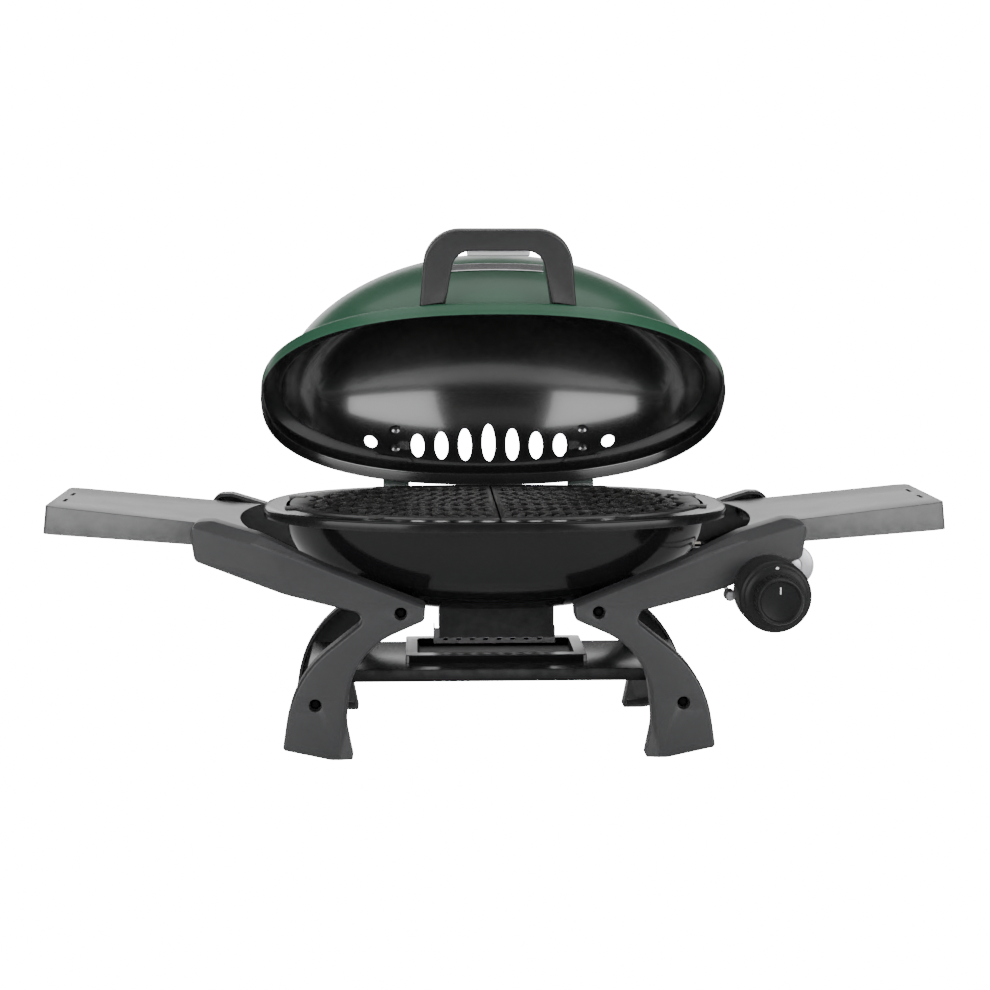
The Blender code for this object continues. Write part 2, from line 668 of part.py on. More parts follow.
def make_table():
    """The right table, level, with u outward from its pivot."""
    side = []
    for u in (-7, 7, 18, 60, 185):
        half = TABLE_HALF[0] + (TABLE_HALF[1] - TABLE_HALF[0]) * max(0, u * MM) / TABLE_LENGTH
        side.append(Vector((u * MM, half)))
    end_half = TABLE_HALF[1] - 12 * MM
    corner = [Vector((TABLE_LENGTH - 3 * MM, TABLE_HALF[1] - 4 * MM)), Vector((TABLE_LENGTH, end_half))]
    arc = []
    for i in range(-5, 6):
        y = 0.2 * i * TABLE_HALF[0]
        arc.append(Vector((TABLE_INNER - TABLE_ARC + (TABLE_ARC**2 - y * y) ** 0.5, y)))
    upper = side + corner
    lower = [Vector((p.x, -p.y)) for p in reversed(upper)]
    outline = upper + lower + arc
    middle = Vector((PIVOT[0], 0, PIVOT[1] + TABLE_TOP))
    top = flat("table_face", [outline], 0)
    bm = bmesh.new()
    bm.from_mesh(top.data)
    if sum(f.normal.z for f in bm.faces) < 0:
        bmesh.ops.reverse_faces(bm, faces=bm.faces)
    edges = [e for e in bm.edges if e.is_boundary and min(v.co.x for v in e.verts) > -7.1 * MM]
    made = bmesh.ops.extrude_edge_only(bm, edges=edges)["geom"]
    for v in made:
        if isinstance(v, bmesh.types.BMVert):
            ear = v.co.x < 8 * MM
            v.co.z -= 25.5 * MM if ear else 22 * MM + 11 * MM * (v.co.x - 18 * MM) / (TABLE_LENGTH - 18 * MM)
    bmesh.ops.translate(bm, vec=middle, verts=bm.verts)
    bpy.data.objects.remove(top)
    table = from_bmesh("right_side_table", bm, "table")
    solidify(table, TABLE_SHEET)
    hole = rod("table_bore", (PIVOT[0], -0.2, PIVOT[1]), (PIVOT[0], 0.2, PIVOT[1]), PIN_R + GAP)
    boolean(table, hole)
    notches = bmesh.new()
    for y in (-30 * MM, 30 * MM):
        made = bmesh.ops.create_cube(notches, size=1)["verts"]
        bmesh.ops.scale(notches, vec=(4 * MM, 26 * MM, 20 * MM), verts=made)
        bmesh.ops.translate(notches, vec=middle + Vector((TABLE_LENGTH - 14 * MM, y, 0)), verts=made)
    boolean(table, from_bmesh("hook_slots", notches, None))


def make_tables():
    pivot = (PIVOT[0], 0, PIVOT[1])
    hang_on("right_table_axis", make_table, pivot, (0, -TABLE_TILT, 0))
    bpy.context.view_layer.update()
    mirrored(bpy.data.objects["right_side_table"], "left_side_table", "table", 0, (-PIVOT[0], 0, PIVOT[1]))
    reach = FRAME_Y[1] - 6.5 * MM
    rail = (PIVOT[0], reach, PIVOT[1])
    pin = rod("table_pivot_rod_right", (PIVOT[0], -reach, PIVOT[1]), rail, PIN_R, "steel", 12)
    mirrored(pin, "table_pivot_rod_left", "steel")


# Shelf and drip tray


def make_shelf():
    x, y = SHELF_HALF
    shelf = box("base_shelf", (-x, -y, SHELF_Z - SHELF_FLANGE), (x, y, SHELF_Z), "shelf",
                ((2, -1), (0, 1), (0, -1)))
    solidify(shelf, SHEET)
    notch_x, notch_drop = SHELF_NOTCH
    notch = box("shelf_notch", (-notch_x, -0.2, 0), (notch_x, 0.2, SHELF_Z - notch_drop))
    boolean(shelf, notch)
    holes = bmesh.new()
    for side in (-1, 1):
        made = bmesh.ops.create_cone(holes, cap_ends=True, segments=14, radius1=7.3 * MM, radius2=7.3 * MM,
                                     depth=0.4)
        turn = Matrix.Translation((side * LEG_HOLE[0], 0, LEG_HOLE[1])) @ Matrix.Rotation(radians(90), 4, "X")
        bmesh.ops.transform(holes, matrix=turn, verts=made["verts"])
    boolean(shelf, from_bmesh("tie_holes", holes, None))


def make_tray():
    base = SHELF_Z + GAP
    middle = (TRAY_Y[0] + TRAY_Y[1]) / 2
    bm = bmesh.new()
    bmesh.ops.create_grid(bm, x_segments=3, y_segments=3, size=1)
    well = min(bm.faces, key=lambda f: f.calc_center_median().length)
    half_y = (TRAY_Y[1] - TRAY_Y[0]) / 2
    for v in bm.verts:
        x = TRAY_X if abs(v.co.x) > 0.5 else 94 * MM
        y = half_y if abs(v.co.y) > 0.5 else 47 * MM
        v.co = (x * signed_power(v.co.x, 0), y * signed_power(v.co.y, 0), base + TRAY_HEIGHT)
    mouth = list(well.edges)
    outside = [e for e in bm.edges if e.is_boundary]
    bmesh.ops.delete(bm, geom=[well], context="FACES_ONLY")
    walls = bmesh.ops.extrude_edge_only(bm, edges=mouth)["geom"]
    floor = [v for v in walls if isinstance(v, bmesh.types.BMVert)]
    for v in floor:
        v.co = (v.co.x * 0.97, v.co.y * 0.95, base + 1.2 * MM)
    bmesh.ops.contextual_create(bm, geom=[e for e in bm.edges if all(v in floor for v in e.verts)])
    skirt = bmesh.ops.extrude_edge_only(bm, edges=outside)["geom"]
    for v in skirt:
        if isinstance(v, bmesh.types.BMVert):
            v.co.z = base
    bmesh.ops.translate(bm, vec=(0, middle, 0), verts=bm.verts)
    bmesh.ops.recalc_face_normals(bm, faces=bm.faces)
    if sum(f.normal.z * f.calc_area() for f in bm.faces) < 0:
        bmesh.ops.reverse_faces(bm, faces=bm.faces)
    tray = from_bmesh("drip_tray", bm, "tray")
    solidify(tray, 0.9 * MM)


# Grates


def make_grates():
    inner = 12 * MM
    outline = []
    oval = grown(BOWL_HALF, -SHEET - 4.5 * MM)
    count = 26
    for i in range(count + 1):
        angle = -pi / 2 + pi * i / count
        x, y = oval_point(oval, angle)
        outline.append((max(x, 1.2 * MM), y))
    slots = []
    edge = grown(oval, -inner)
    for column in range(8):
        middle = (19 + 28 * column) * MM
        reach = edge[1] * (1 - min(1, ((middle + 8 * MM) / edge[0])) ** PLAN_POWER) ** (1 / PLAN_POWER)
        bar = (5 + 0.15 * column**2) * MM
        for low, high in ((-reach, -bar), (bar, reach)):
            if high - low < 20 * MM:
                continue
            rows = max(3, round((high - low) / (24 * MM)))
            levels = [low + (high - low) * r / rows for r in range(rows + 1)]
            wave = [(middle + 5 * MM * sin(2 * pi * y / 0.11), y) for y in levels]
            slots.append([(x - 7 * MM, y) for x, y in wave] + [(x + 7 * MM, y) for x, y in reversed(wave)])
    grate = flat("right_grate", [outline, *slots], 5 * MM, "iron")
    grate.location.z = RIM_Z - 3.5 * MM
    lugs = bmesh.new()
    for angle in (-60, -15, 15, 60):
        x, y = oval_point(oval, radians(angle))
        outward = Vector((x, y, 0)).normalized()
        made = bmesh.ops.create_cube(lugs, size=1)["verts"]
        turn = Matrix.Rotation(atan2(outward.y, outward.x), 4, "Z")
        place_at = Matrix.Translation(Vector((x, y, RIM_Z + 1.5 * MM)))
        bmesh.ops.transform(lugs, matrix=place_at @ turn @ Matrix.Diagonal((20 * MM, 12 * MM, 2.3 * MM, 1)),
                            verts=made)
    boolean(grate, from_bmesh("grate_lugs", lugs, None), "UNION")
    mirrored(grate, "left_grate", "iron")


# Control group


def make_control():
    x, z = CONTROL
    back, face = HOUSING_Y[1], HOUSING_Y[0]
    depth = back - face
    toward = (0, -1, 0)
    cup = [(9 * MM, depth), (HOUSING_R - 3 * MM, depth), (HOUSING_R, depth - 3 * MM), (HOUSING_R, 0)]
    cup += [(HOUSING_R - 2.5 * MM, 0), (HOUSING_R - 2.5 * MM, depth - 3.5 * MM), (9 * MM, depth - 3.5 * MM)]
    turned("control_housing", cup, (x, back, z), toward, "knob", 20)
    ring = [(9 * MM, 5 * MM), (30 * MM, 5 * MM), (36 * MM, 2 * MM), (36 * MM, 0), (9 * MM, 0)]
    turned("control_bezel", ring, (x, face - GAP, z), toward, "knob", 20)
    knob = [(0, 18 * MM), (21 * MM, 18 * MM), (23.5 * MM, 21 * MM), (25.5 * MM, 21 * MM), (KNOB_R, 17 * MM)]
    knob += [(KNOB_R, 0), (24 * MM, 0), (24 * MM, 12 * MM), (6 * MM, 12 * MM), (6 * MM, 4 * MM),
             (3.4 * MM, 4 * MM)]
    knob += [(3.4 * MM, 14 * MM), (0, 14 * MM)]
    turned("control_knob", knob, (x, face - GAP - 9.5 * MM, z), toward, "knob", 20)
    body = box("valve_body", (x - 11 * MM, face + 15.5 * MM, z - 11 * MM),
               (x + 11 * MM, back + 0.1 * MM, z + 11 * MM), "brass")
    bevel(body, 1.5 * MM, 1)
    stem = [(0, 0.0315), (3 * MM, 0.0315), (3 * MM, 8 * MM), (6 * MM, 8 * MM), (6 * MM, 0), (0, 0)]
    turned("valve_stem", stem, (x, face + 12 * MM - GAP, z), toward, "steel", 14)


def make_gas_train():
    x, z = REGULATOR
    toward = (0, -1, 0)
    r = REGULATOR_R
    body = [(0, 12 * MM), (r, 12 * MM), (r, 9 * MM), (0.8 * r, 6 * MM), (0.5 * r, 0), (0, 0)]
    turned("regulator_body", body, (x, -100 * MM, z), toward, "zinc", 18)
    cover = [(0, 6 * MM), (0.35 * r, 6 * MM), (0.45 * r, 3.5 * MM), (0.85 * r, 3 * MM), (0.9 * r, 2 * MM),
             (r, 2 * MM), (r, 0), (0, 0)]
    turned("regulator_cover", cover, (x, -112 * MM - GAP, z), toward, "zinc", 18)
    inlet = [(0, 34 * MM), (6 * MM, 34 * MM), (7 * MM, 30 * MM), (7 * MM, 14 * MM), (9 * MM, 13 * MM),
             (9 * MM, 0), (0, 0)]
    turned("inlet_fitting", inlet, (x, -100 * MM + GAP, z), (0, 1, 0), "brass", 14)
    fitting = [(0, 14 * MM), (5 * MM, 14 * MM), (7 * MM, 10 * MM), (7 * MM, 0), (0, 0)]
    turned("gas_fitting", fitting, (264 * MM, -136 * MM, 188 * MM), toward, "zinc", 12)
    route = ((264, -135.6, 188), (265, -105, 190), (268, -60, 198), (270, -20, 209), (262, -3, 212),
             (245, 0, 212))
    tube("gas_tube", smooth_path([Vector(p) * MM for p in route], 3), 2.8 * MM, "steel")


bowl_skin = make_bowl()
make_vent_plate()
make_burner()
hang_on("lid_hinge_axis", make_lid, (0, HINGE_Y, HINGE_Z), (-LID_OPEN, 0, 0))
make_bowl_hinge(bowl_skin)
make_frames()
make_frame_fasteners(bowl_skin)
make_tables()
make_shelf()
make_tray()
make_grates()
make_control()
make_gas_train()

for thing in bpy.data.objects:
    if thing.parent is None:
        thing.location.y += CENTRE_SHIFT
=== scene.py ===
from math import cos, pi, radians, sin, tan

import bmesh
import bpy
from mathutils import Matrix, Vector


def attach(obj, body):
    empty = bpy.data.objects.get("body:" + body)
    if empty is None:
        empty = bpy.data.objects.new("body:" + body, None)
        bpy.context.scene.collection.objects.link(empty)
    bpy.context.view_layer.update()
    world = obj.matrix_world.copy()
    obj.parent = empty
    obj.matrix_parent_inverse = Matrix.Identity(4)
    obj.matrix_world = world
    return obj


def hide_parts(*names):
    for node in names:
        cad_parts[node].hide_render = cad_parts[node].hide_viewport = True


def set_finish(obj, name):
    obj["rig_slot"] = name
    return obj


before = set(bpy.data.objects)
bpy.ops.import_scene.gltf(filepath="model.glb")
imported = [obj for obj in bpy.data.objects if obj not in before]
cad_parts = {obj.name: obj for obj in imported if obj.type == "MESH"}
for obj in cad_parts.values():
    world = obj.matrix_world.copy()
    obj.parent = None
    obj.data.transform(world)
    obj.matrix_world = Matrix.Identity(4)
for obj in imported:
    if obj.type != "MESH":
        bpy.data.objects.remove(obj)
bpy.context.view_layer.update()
print("frame loaded")

mm = 0.001
shiftY = 6 * mm  # the drawing's middle sits 6 mm in front of the frame's origin
scratch = []  # cutters and half-made shapes, removed as each piece is finished


# camera and light first
view = {"at": (-0.1, -2.566, 0.591), "pitch": 83.28, "yaw": -2.23, "lens": 78.4}
light = {"side": 54, "top": 20, "front": 1, "behind": 34, "room": 0.16, "floor": (0.9, 0.9, 0.9),
         "backdrop": 20.0}


def makeCamera():
    data = bpy.data.cameras.new("camera")
    data.lens = view["lens"]
    data.sensor_width = 36
    camera = bpy.data.objects.new("camera", data)
    camera.location = view["at"]
    camera.rotation_euler = (radians(view["pitch"]), 0, radians(view["yaw"]))
    bpy.context.scene.collection.objects.link(camera)
    bpy.context.scene.camera = camera


def makeLight(name, at, aim, size, power):
    data = bpy.data.lights.new(name, "AREA")
    data.shape = "RECTANGLE"
    data.size, data.size_y = size
    data.energy = power
    lamp = bpy.data.objects.new(name, data)
    lamp.location = at
    lamp.rotation_mode = "QUATERNION"
    lamp.rotation_quaternion = (Vector(aim) - Vector(at)).to_track_quat("-Z", "Y")
    bpy.context.scene.collection.objects.link(lamp)


def makeRoom():
    world = bpy.data.worlds.new("room")
    bpy.context.scene.world = world
    world.use_nodes = True
    tree = world.node_tree
    soft = tree.nodes["Background"]
    soft.inputs["Color"].default_value = (1, 1, 1, 1)
    soft.inputs["Strength"].default_value = light["room"]
    pale = tree.nodes.new("ShaderNodeBackground")
    pale.inputs["Color"].default_value = (1, 1, 1, 1)
    pale.inputs["Strength"].default_value = light["backdrop"]
    path = tree.nodes.new("ShaderNodeLightPath")
    mix = tree.nodes.new("ShaderNodeMixShader")
    tree.links.new(path.outputs["Is Camera Ray"], mix.inputs[0])
    tree.links.new(soft.outputs[0], mix.inputs[1])
    tree.links.new(pale.outputs[0], mix.inputs[2])
    tree.links.new(mix.outputs[0], tree.nodes["World Output"].inputs[0])
    for name, x in (("softboxLeft", -1.65), ("softboxRight", 1.65)):
        makeLight(name, (x, -1.7, 0.95), (0, 0, 0.4), (2.0, 1.5), light["side"])
    makeLight("panelBehind", (0, 2.9, 1.2), (0, 0, 0.3), (4.6, 1.1), light["behind"])
    makeLight("softboxTop", (0, 0.1, 2.2), (0, 0, 0.3), (2.4, 1.6), light["top"])
    makeLight("fillFront", (0, -3.2, 1.3), (0, 0, 0.3), (1.6, 0.8), light["front"])


# node groups shared by the materials


def newGroup(name, inputs, outputs):
    group = bpy.data.node_groups.new(name, "ShaderNodeTree")
    for title, kind, value in inputs:
        socket = group.interface.new_socket(title, in_out="INPUT", socket_type=kind)
        socket.default_value = value
    for title, kind in outputs:
        group.interface.new_socket(title, in_out="OUTPUT", socket_type=kind)
    return group, group.nodes.new("NodeGroupInput"), group.nodes.new("NodeGroupOutput")


def mathNode(tree, operation, a, b):
    node = tree.nodes.new("ShaderNodeMath")
    node.operation = operation
    for slot, value in zip(node.inputs, (a, b)):
        if isinstance(value, (int, float)):
            slot.default_value = value
        else:
            tree.links.new(value, slot)
    return node.outputs[0]


def buildGroups():
    groups = {}
    number = "NodeSocketFloat"

    # grain: fine height and a broad mottle, both from noise in the piece's own space
    tree, start, end = newGroup("grain", [("Scale", number, 900.0), ("Mottle Scale", number, 14.0)],
                                [("Height", number), ("Mottle", number)])
    where = tree.nodes.new("ShaderNodeTexCoord")
    fine = tree.nodes.new("ShaderNodeTexNoise")
    broad = tree.nodes.new("ShaderNodeTexNoise")
    fine.inputs["Detail"].default_value = 4
    broad.inputs["Detail"].default_value = 3
    for node, title in ((fine, "Scale"), (broad, "Mottle Scale")):
        tree.links.new(where.outputs["Object"], node.inputs["Vector"])
        tree.links.new(start.outputs[title], node.inputs["Scale"])
    tree.links.new(fine.outputs["Fac"], end.inputs["Height"])
    tree.links.new(broad.outputs["Fac"], end.inputs["Mottle"])
    groups["grain"] = tree

    # edge wear: raised edges broken up by noise
    tree, start, end = newGroup("edgeWear", [("Amount", number, 0.5)], [("Mask", number)])
    shape = tree.nodes.new("ShaderNodeNewGeometry")
    ramp = tree.nodes.new("ShaderNodeMapRange")
    ramp.inputs["From Min"].default_value = 0.52
    ramp.inputs["From Max"].default_value = 0.62
    patch = tree.nodes.new("ShaderNodeTexNoise")
    patch.inputs["Scale"].default_value = 60
    where = tree.nodes.new("ShaderNodeTexCoord")
    tree.links.new(where.outputs["Object"], patch.inputs["Vector"])
    tree.links.new(shape.outputs["Pointiness"], ramp.inputs["Value"])
    broken = mathNode(tree, "MULTIPLY", ramp.outputs[0], patch.outputs["Fac"])
    tree.links.new(mathNode(tree, "MULTIPLY", broken, start.outputs["Amount"]), end.inputs["Mask"])
    groups["edgeWear"] = tree

    # dust: lies on what faces up
    tree, start, end = newGroup("dust", [("Amount", number, 0.1)], [("Mask", number)])
    shape = tree.nodes.new("ShaderNodeNewGeometry")
    split = tree.nodes.new("ShaderNodeSeparateXYZ")
    patch = tree.nodes.new("ShaderNodeTexNoise")
    patch.inputs["Scale"].default_value = 35
    patch.inputs["Detail"].default_value = 6
    where = tree.nodes.new("ShaderNodeTexCoord")
    tree.links.new(where.outputs["Object"], patch.inputs["Vector"])
    tree.links.new(shape.outputs["Normal"], split.inputs[0])
    up = mathNode(tree, "MAXIMUM", split.outputs["Z"], 0)
    laid = mathNode(tree, "MULTIPLY", up, patch.outputs["Fac"])
    tree.links.new(mathNode(tree, "MULTIPLY", laid, start.outputs["Amount"]), end.inputs["Mask"])
    groups["dust"] = tree

    # brushing: long fine lines, stretched along one axis
    tree, start, end = newGroup("brushing", [("Stretch", "NodeSocketVector", (1, 1, 1))],
                                [("Height", number)])
    where = tree.nodes.new("ShaderNodeTexCoord")
    stretch = tree.nodes.new("ShaderNodeVectorMath")
    stretch.operation = "MULTIPLY"
    lines = tree.nodes.new("ShaderNodeTexNoise")
    lines.inputs["Scale"].default_value = 1
    lines.inputs["Detail"].default_value = 5
    tree.links.new(where.outputs["Object"], stretch.inputs[0])
    tree.links.new(start.outputs["Stretch"], stretch.inputs[1])
    tree.links.new(stretch.outputs[0], lines.inputs["Vector"])
    tree.links.new(lines.outputs["Fac"], end.inputs["Height"])
    groups["brushing"] = tree
    return groups


# one entry per finish: base colour, its mottled variant, worn colour, roughness range, bump
finishes = {
    "greenEnamel": dict(
        colour=(0.016, 0.068, 0.036), mottle=(0.02, 0.08, 0.043), worn=(0.06, 0.15, 0.1),
        rough=(0.24, 0.36), metal=0, grain=420, bump=0.05, wear=0.5, dust=0.03, ior=1.45, coat=0.1),
    "blackEnamel": dict(
        colour=(0.004, 0.004, 0.0045), mottle=(0.007, 0.007, 0.0075), worn=(0.05, 0.05, 0.05),
        rough=(0.12, 0.2), metal=0, grain=300, bump=0.04, wear=0.4, dust=0.01, ior=1.33, coat=0.0),
    "lidEnamel": dict(
        colour=(0.007, 0.007, 0.0075), mottle=(0.01, 0.01, 0.0105), worn=(0.06, 0.06, 0.06),
        rough=(0.14, 0.22), metal=0, grain=300, bump=0.04, wear=0.3, dust=0.02, ior=1.65, coat=0.5),
    "shelfEnamel": dict(
        colour=(0.004, 0.004, 0.0045), mottle=(0.006, 0.006, 0.0065), worn=(0.15, 0.15, 0.15),
        rough=(0.16, 0.26), metal=0, grain=300, bump=0.04, wear=0.3, dust=0.01, ior=1.22, coat=0.0),
    "framePlastic": dict(
        colour=(0.021, 0.0215, 0.023), mottle=(0.026, 0.0265, 0.028), worn=(0.12, 0.12, 0.125),
        rough=(0.34, 0.46), metal=0, grain=1500, bump=0.2, wear=0.55, dust=0.03, ior=1.5, coat=0.0),
    "tablePlastic": dict(
        colour=(0.022, 0.0225, 0.024), mottle=(0.027, 0.0275, 0.029), worn=(0.2, 0.2, 0.2),
        rough=(0.26, 0.34), metal=0, grain=1300, bump=0.14, wear=0.5, dust=0.04, ior=1.5, coat=0.0),
    "gripPlastic": dict(
        colour=(0.006, 0.006, 0.0065), mottle=(0.009, 0.009, 0.0095), worn=(0.09, 0.09, 0.09),
        rough=(0.32, 0.44), metal=0, grain=1400, bump=0.15, wear=0.5, dust=0.01, ior=1.25, coat=0.0),
    "handlePlastic": dict(
        colour=(0.013, 0.013, 0.014), mottle=(0.017, 0.017, 0.018), worn=(0.09, 0.09, 0.09),
        rough=(0.3, 0.4), metal=0, grain=1400, bump=0.25, wear=0.5, dust=0.08, ior=1.46, coat=0.0),
    "castIron": dict(
        colour=(0.009, 0.009, 0.01), mottle=(0.02, 0.019, 0.018), worn=(0.1, 0.1, 0.1),
        rough=(0.34, 0.56), metal=0, grain=520, bump=0.5, wear=0.9, dust=0.02, ior=1.5, coat=0.0),
    "brightSteel": dict(
        colour=(0.62, 0.62, 0.63), mottle=(0.5, 0.5, 0.51), worn=(0.8, 0.8, 0.8),
        rough=(0.16, 0.3), metal=1, grain=300, bump=0.05, wear=0.4, dust=0.02, ior=1.5, coat=0.0),
    "zincPlate": dict(
        colour=(0.48, 0.48, 0.5), mottle=(0.36, 0.36, 0.38), worn=(0.7, 0.7, 0.7),
        rough=(0.28, 0.44), metal=1, grain=240, bump=0.12, wear=0.5, dust=0.04, ior=1.5, coat=0.0),
    "traySteel": dict(
        colour=(0.4, 0.4, 0.41), mottle=(0.28, 0.28, 0.29), worn=(0.7, 0.7, 0.7),
        rough=(0.22, 0.4), metal=1, grain=200, bump=0.1, wear=0.5, dust=0.05, ior=1.5, coat=0.0),
    "brass": dict(
        colour=(0.55, 0.38, 0.15), mottle=(0.42, 0.28, 0.1), worn=(0.75, 0.6, 0.35),
        rough=(0.25, 0.4), metal=1, grain=260, bump=0.1, wear=0.5, dust=0.04, ior=1.5, coat=0.0),
    "ceramic": dict(
        colour=(0.78, 0.75, 0.68), mottle=(0.7, 0.66, 0.58), worn=(0.85, 0.83, 0.8),
        rough=(0.2, 0.35), metal=0, grain=300, bump=0.06, wear=0.3, dust=0.05, ior=1.55, coat=0.0),
    # near-black and almost unreflecting: dark steel on the screws, and painted shade on the drip tray's
    # outer walls and well
    "darkSteelAndPaintedShade": dict(
        colour=(0.003, 0.003, 0.003), mottle=(0.005, 0.005, 0.005), worn=(0.01, 0.01, 0.01),
        rough=(0.45, 0.6), metal=0, grain=500, bump=0.1, wear=0.2, dust=0.0, ior=1.15, coat=0.0),
    "louvreZinc": dict(
        colour=(0.3, 0.3, 0.31), mottle=(0.22, 0.22, 0.23), worn=(0.5, 0.5, 0.5),
        rough=(0.4, 0.55), metal=1, grain=240, bump=0.12, wear=0.5, dust=0.1, ior=1.5, coat=0.0),
    "whiteMark": dict(
        colour=(0.8, 0.8, 0.8), mottle=(0.72, 0.72, 0.72), worn=(0.85, 0.85, 0.85),
        rough=(0.35, 0.5), metal=0, grain=900, bump=0.05, wear=0.2, dust=0.02, ior=1.45, coat=0.0),
}


def makeFinish(name, groups, look):
    made = bpy.data.materials.new(name)
    made.use_nodes = True
    tree = made.node_tree
    shader = tree.nodes["Principled BSDF"]
    shader.inputs["Metallic"].default_value = look["metal"]
    shader.inputs["IOR"].default_value = look["ior"]
    shader.inputs["Coat Weight"].default_value = look["coat"]
    shader.inputs["Coat Roughness"].default_value = 0.08

    def place(kind, **values):
        node = tree.nodes.new("ShaderNodeGroup")
        node.node_tree = groups[kind]
        for title, value in values.items():
            node.inputs[title.replace("_", " ")].default_value = value
        return node

    def mix(factor, a, b):
        node = tree.nodes.new("ShaderNodeMix")
        node.data_type = "RGBA"
        tree.links.new(factor, node.inputs[0])
        for slot, value in ((node.inputs[6], a), (node.inputs[7], b)):
            if isinstance(value, tuple):
                slot.default_value = (*value, 1)
            else:
                tree.links.new(value, slot)
        return node.outputs[2]

    grain = place("grain", Scale=look["grain"], Mottle_Scale=18)
    wear = place("edgeWear", Amount=look["wear"])
    dust = place("dust", Amount=look["dust"])
    colour = mix(grain.outputs["Mottle"], look["colour"], look["mottle"])
    colour = mix(wear.outputs["Mask"], colour, look["worn"])
    colour = mix(dust.outputs["Mask"], colour, (0.3, 0.29, 0.27))
    tree.links.new(colour, shader.inputs["Base Color"])
    rough = tree.nodes.new("ShaderNodeMapRange")
    rough.inputs["To Min"].default_value, rough.inputs["To Max"].default_value = look["rough"]
    tree.links.new(grain.outputs["Mottle"], rough.inputs["Value"])
    tree.links.new(mathNode(tree, "ADD", rough.outputs[0], dust.outputs["Mask"]), shader.inputs["Roughness"])
    height = grain.outputs["Height"]
    if look["metal"]:
        lines = place("brushing", Stretch=(40, 900, 900))
        height = mathNode(tree, "ADD", height, lines.outputs["Height"])
    bump = tree.nodes.new("ShaderNodeBump")
    bump.inputs["Strength"].default_value = look["bump"]
    bump.inputs["Distance"].default_value = 0.0002
    tree.links.new(height, bump.inputs["Height"])
    tree.links.new(bump.outputs[0], shader.inputs["Normal"])
    return made


makeCamera()
makeRoom()
nodeGroups = buildGroups()
looks = {name: makeFinish(name, nodeGroups, look) for name, look in finishes.items()}
print("camera, light and finishes made")


# mesh helpers


def keep(piece):
    scratch.append(piece)
    bpy.context.scene.collection.objects.link(piece)
    return piece


def fromBmesh(name, bm):
    mesh = bpy.data.meshes.new(name)
    bm.to_mesh(mesh)
    bm.free()
    return keep(bpy.data.objects.new(name, mesh))


def addModifier(piece, kind, **values):
    made = piece.modifiers.new(kind.lower(), kind)
    for key, value in values.items():
        setattr(made, key, value)


def thicken(piece, thickness, offset=-1, inside=0):
    addModifier(piece, "SOLIDIFY", thickness=thickness, offset=offset, use_even_offset=True,
                material_offset=inside, material_offset_rim=inside)


def roundEdges(piece, width, segments=3, angle=35):
    addModifier(piece, "BEVEL", width=width, segments=segments, limit_method="ANGLE",
                angle_limit=radians(angle))


def cut(piece, tool):
    addModifier(piece, "BOOLEAN", operation="DIFFERENCE", object=tool, solver="EXACT")


def lidTurn():
    pivot = Matrix.Translation((0, 211 * mm, 260 * mm))
    return pivot @ Matrix.Rotation(radians(-35.8), 4, "X") @ pivot.inverted()


def settle(piece, name, finish, body, slot, nodes, turn=None, angle=32):
    # evaluate the modifiers, bring the mesh into the frame, and hand the piece to its body
    bpy.context.view_layer.update()
    mesh = bpy.data.meshes.new_from_object(piece.evaluated_get(bpy.context.evaluated_depsgraph_get()))
    place = Matrix.Translation((0, shiftY, 0)) @ (turn or Matrix.Identity(4)) @ piece.matrix_world
    mesh.transform(place)
    bm = bmesh.new()
    bm.from_mesh(mesh)
    bmesh.ops.remove_doubles(bm, verts=bm.verts, dist=1e-6)
    bm.to_mesh(mesh)
    bm.free()
    return release(mesh, name, finish, body, slot, nodes, angle)


def merge(pieces):
    # one piece out of several closed shapes that touch
    bpy.context.view_layer.update()
    bm = bmesh.new()
    for piece in pieces:
        mesh = bpy.data.meshes.new_from_object(piece.evaluated_get(bpy.context.evaluated_depsgraph_get()))
        mesh.transform(piece.matrix_world)
        bm.from_mesh(mesh)
    return fromBmesh("merged", bm)


def release(mesh, name, finish, body, slot, nodes, angle):
    sides = [face.material_index for face in mesh.polygons]
    mesh.materials.clear()
    for one in finish if isinstance(finish, (list, tuple)) else [finish]:
        mesh.materials.append(looks[one])
    for face, side in zip(mesh.polygons, sides):
        face.use_smooth = True
        face.material_index = side
    mesh.set_sharp_from_angle(angle=radians(angle))
    made = bpy.data.objects.new(name, mesh)
    bpy.context.scene.collection.objects.link(made)
    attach(made, body)
    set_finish(made, slot)
    if nodes:
        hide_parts(*nodes)
    for old in scratch:
        bpy.data.objects.remove(old)
    scratch.clear()
    return made


def mirrorPiece(source, name, body, nodes, axis=0, angle=32):
    mesh = source.data.copy()
    flip = Matrix.Scale(-1, 4, Vector([float(i == axis) for i in range(3)]))
    middle = Matrix.Translation((0, shiftY, 0))
    mesh.transform(middle @ flip @ middle.inverted())
    mesh.flip_normals()
    finish = [m.name for m in source.data.materials]
    return release(mesh, name, finish, body, source["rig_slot"], nodes, angle)


def block(low, high):
    bm = bmesh.new()
    bmesh.ops.create_cube(bm, size=1)
    bmesh.ops.scale(bm, vec=[b - a for a, b in zip(low, high)], verts=bm.verts)
    bmesh.ops.translate(bm, vec=[(a + b) / 2 for a, b in zip(low, high)], verts=bm.verts)
    return fromBmesh("block", bm)


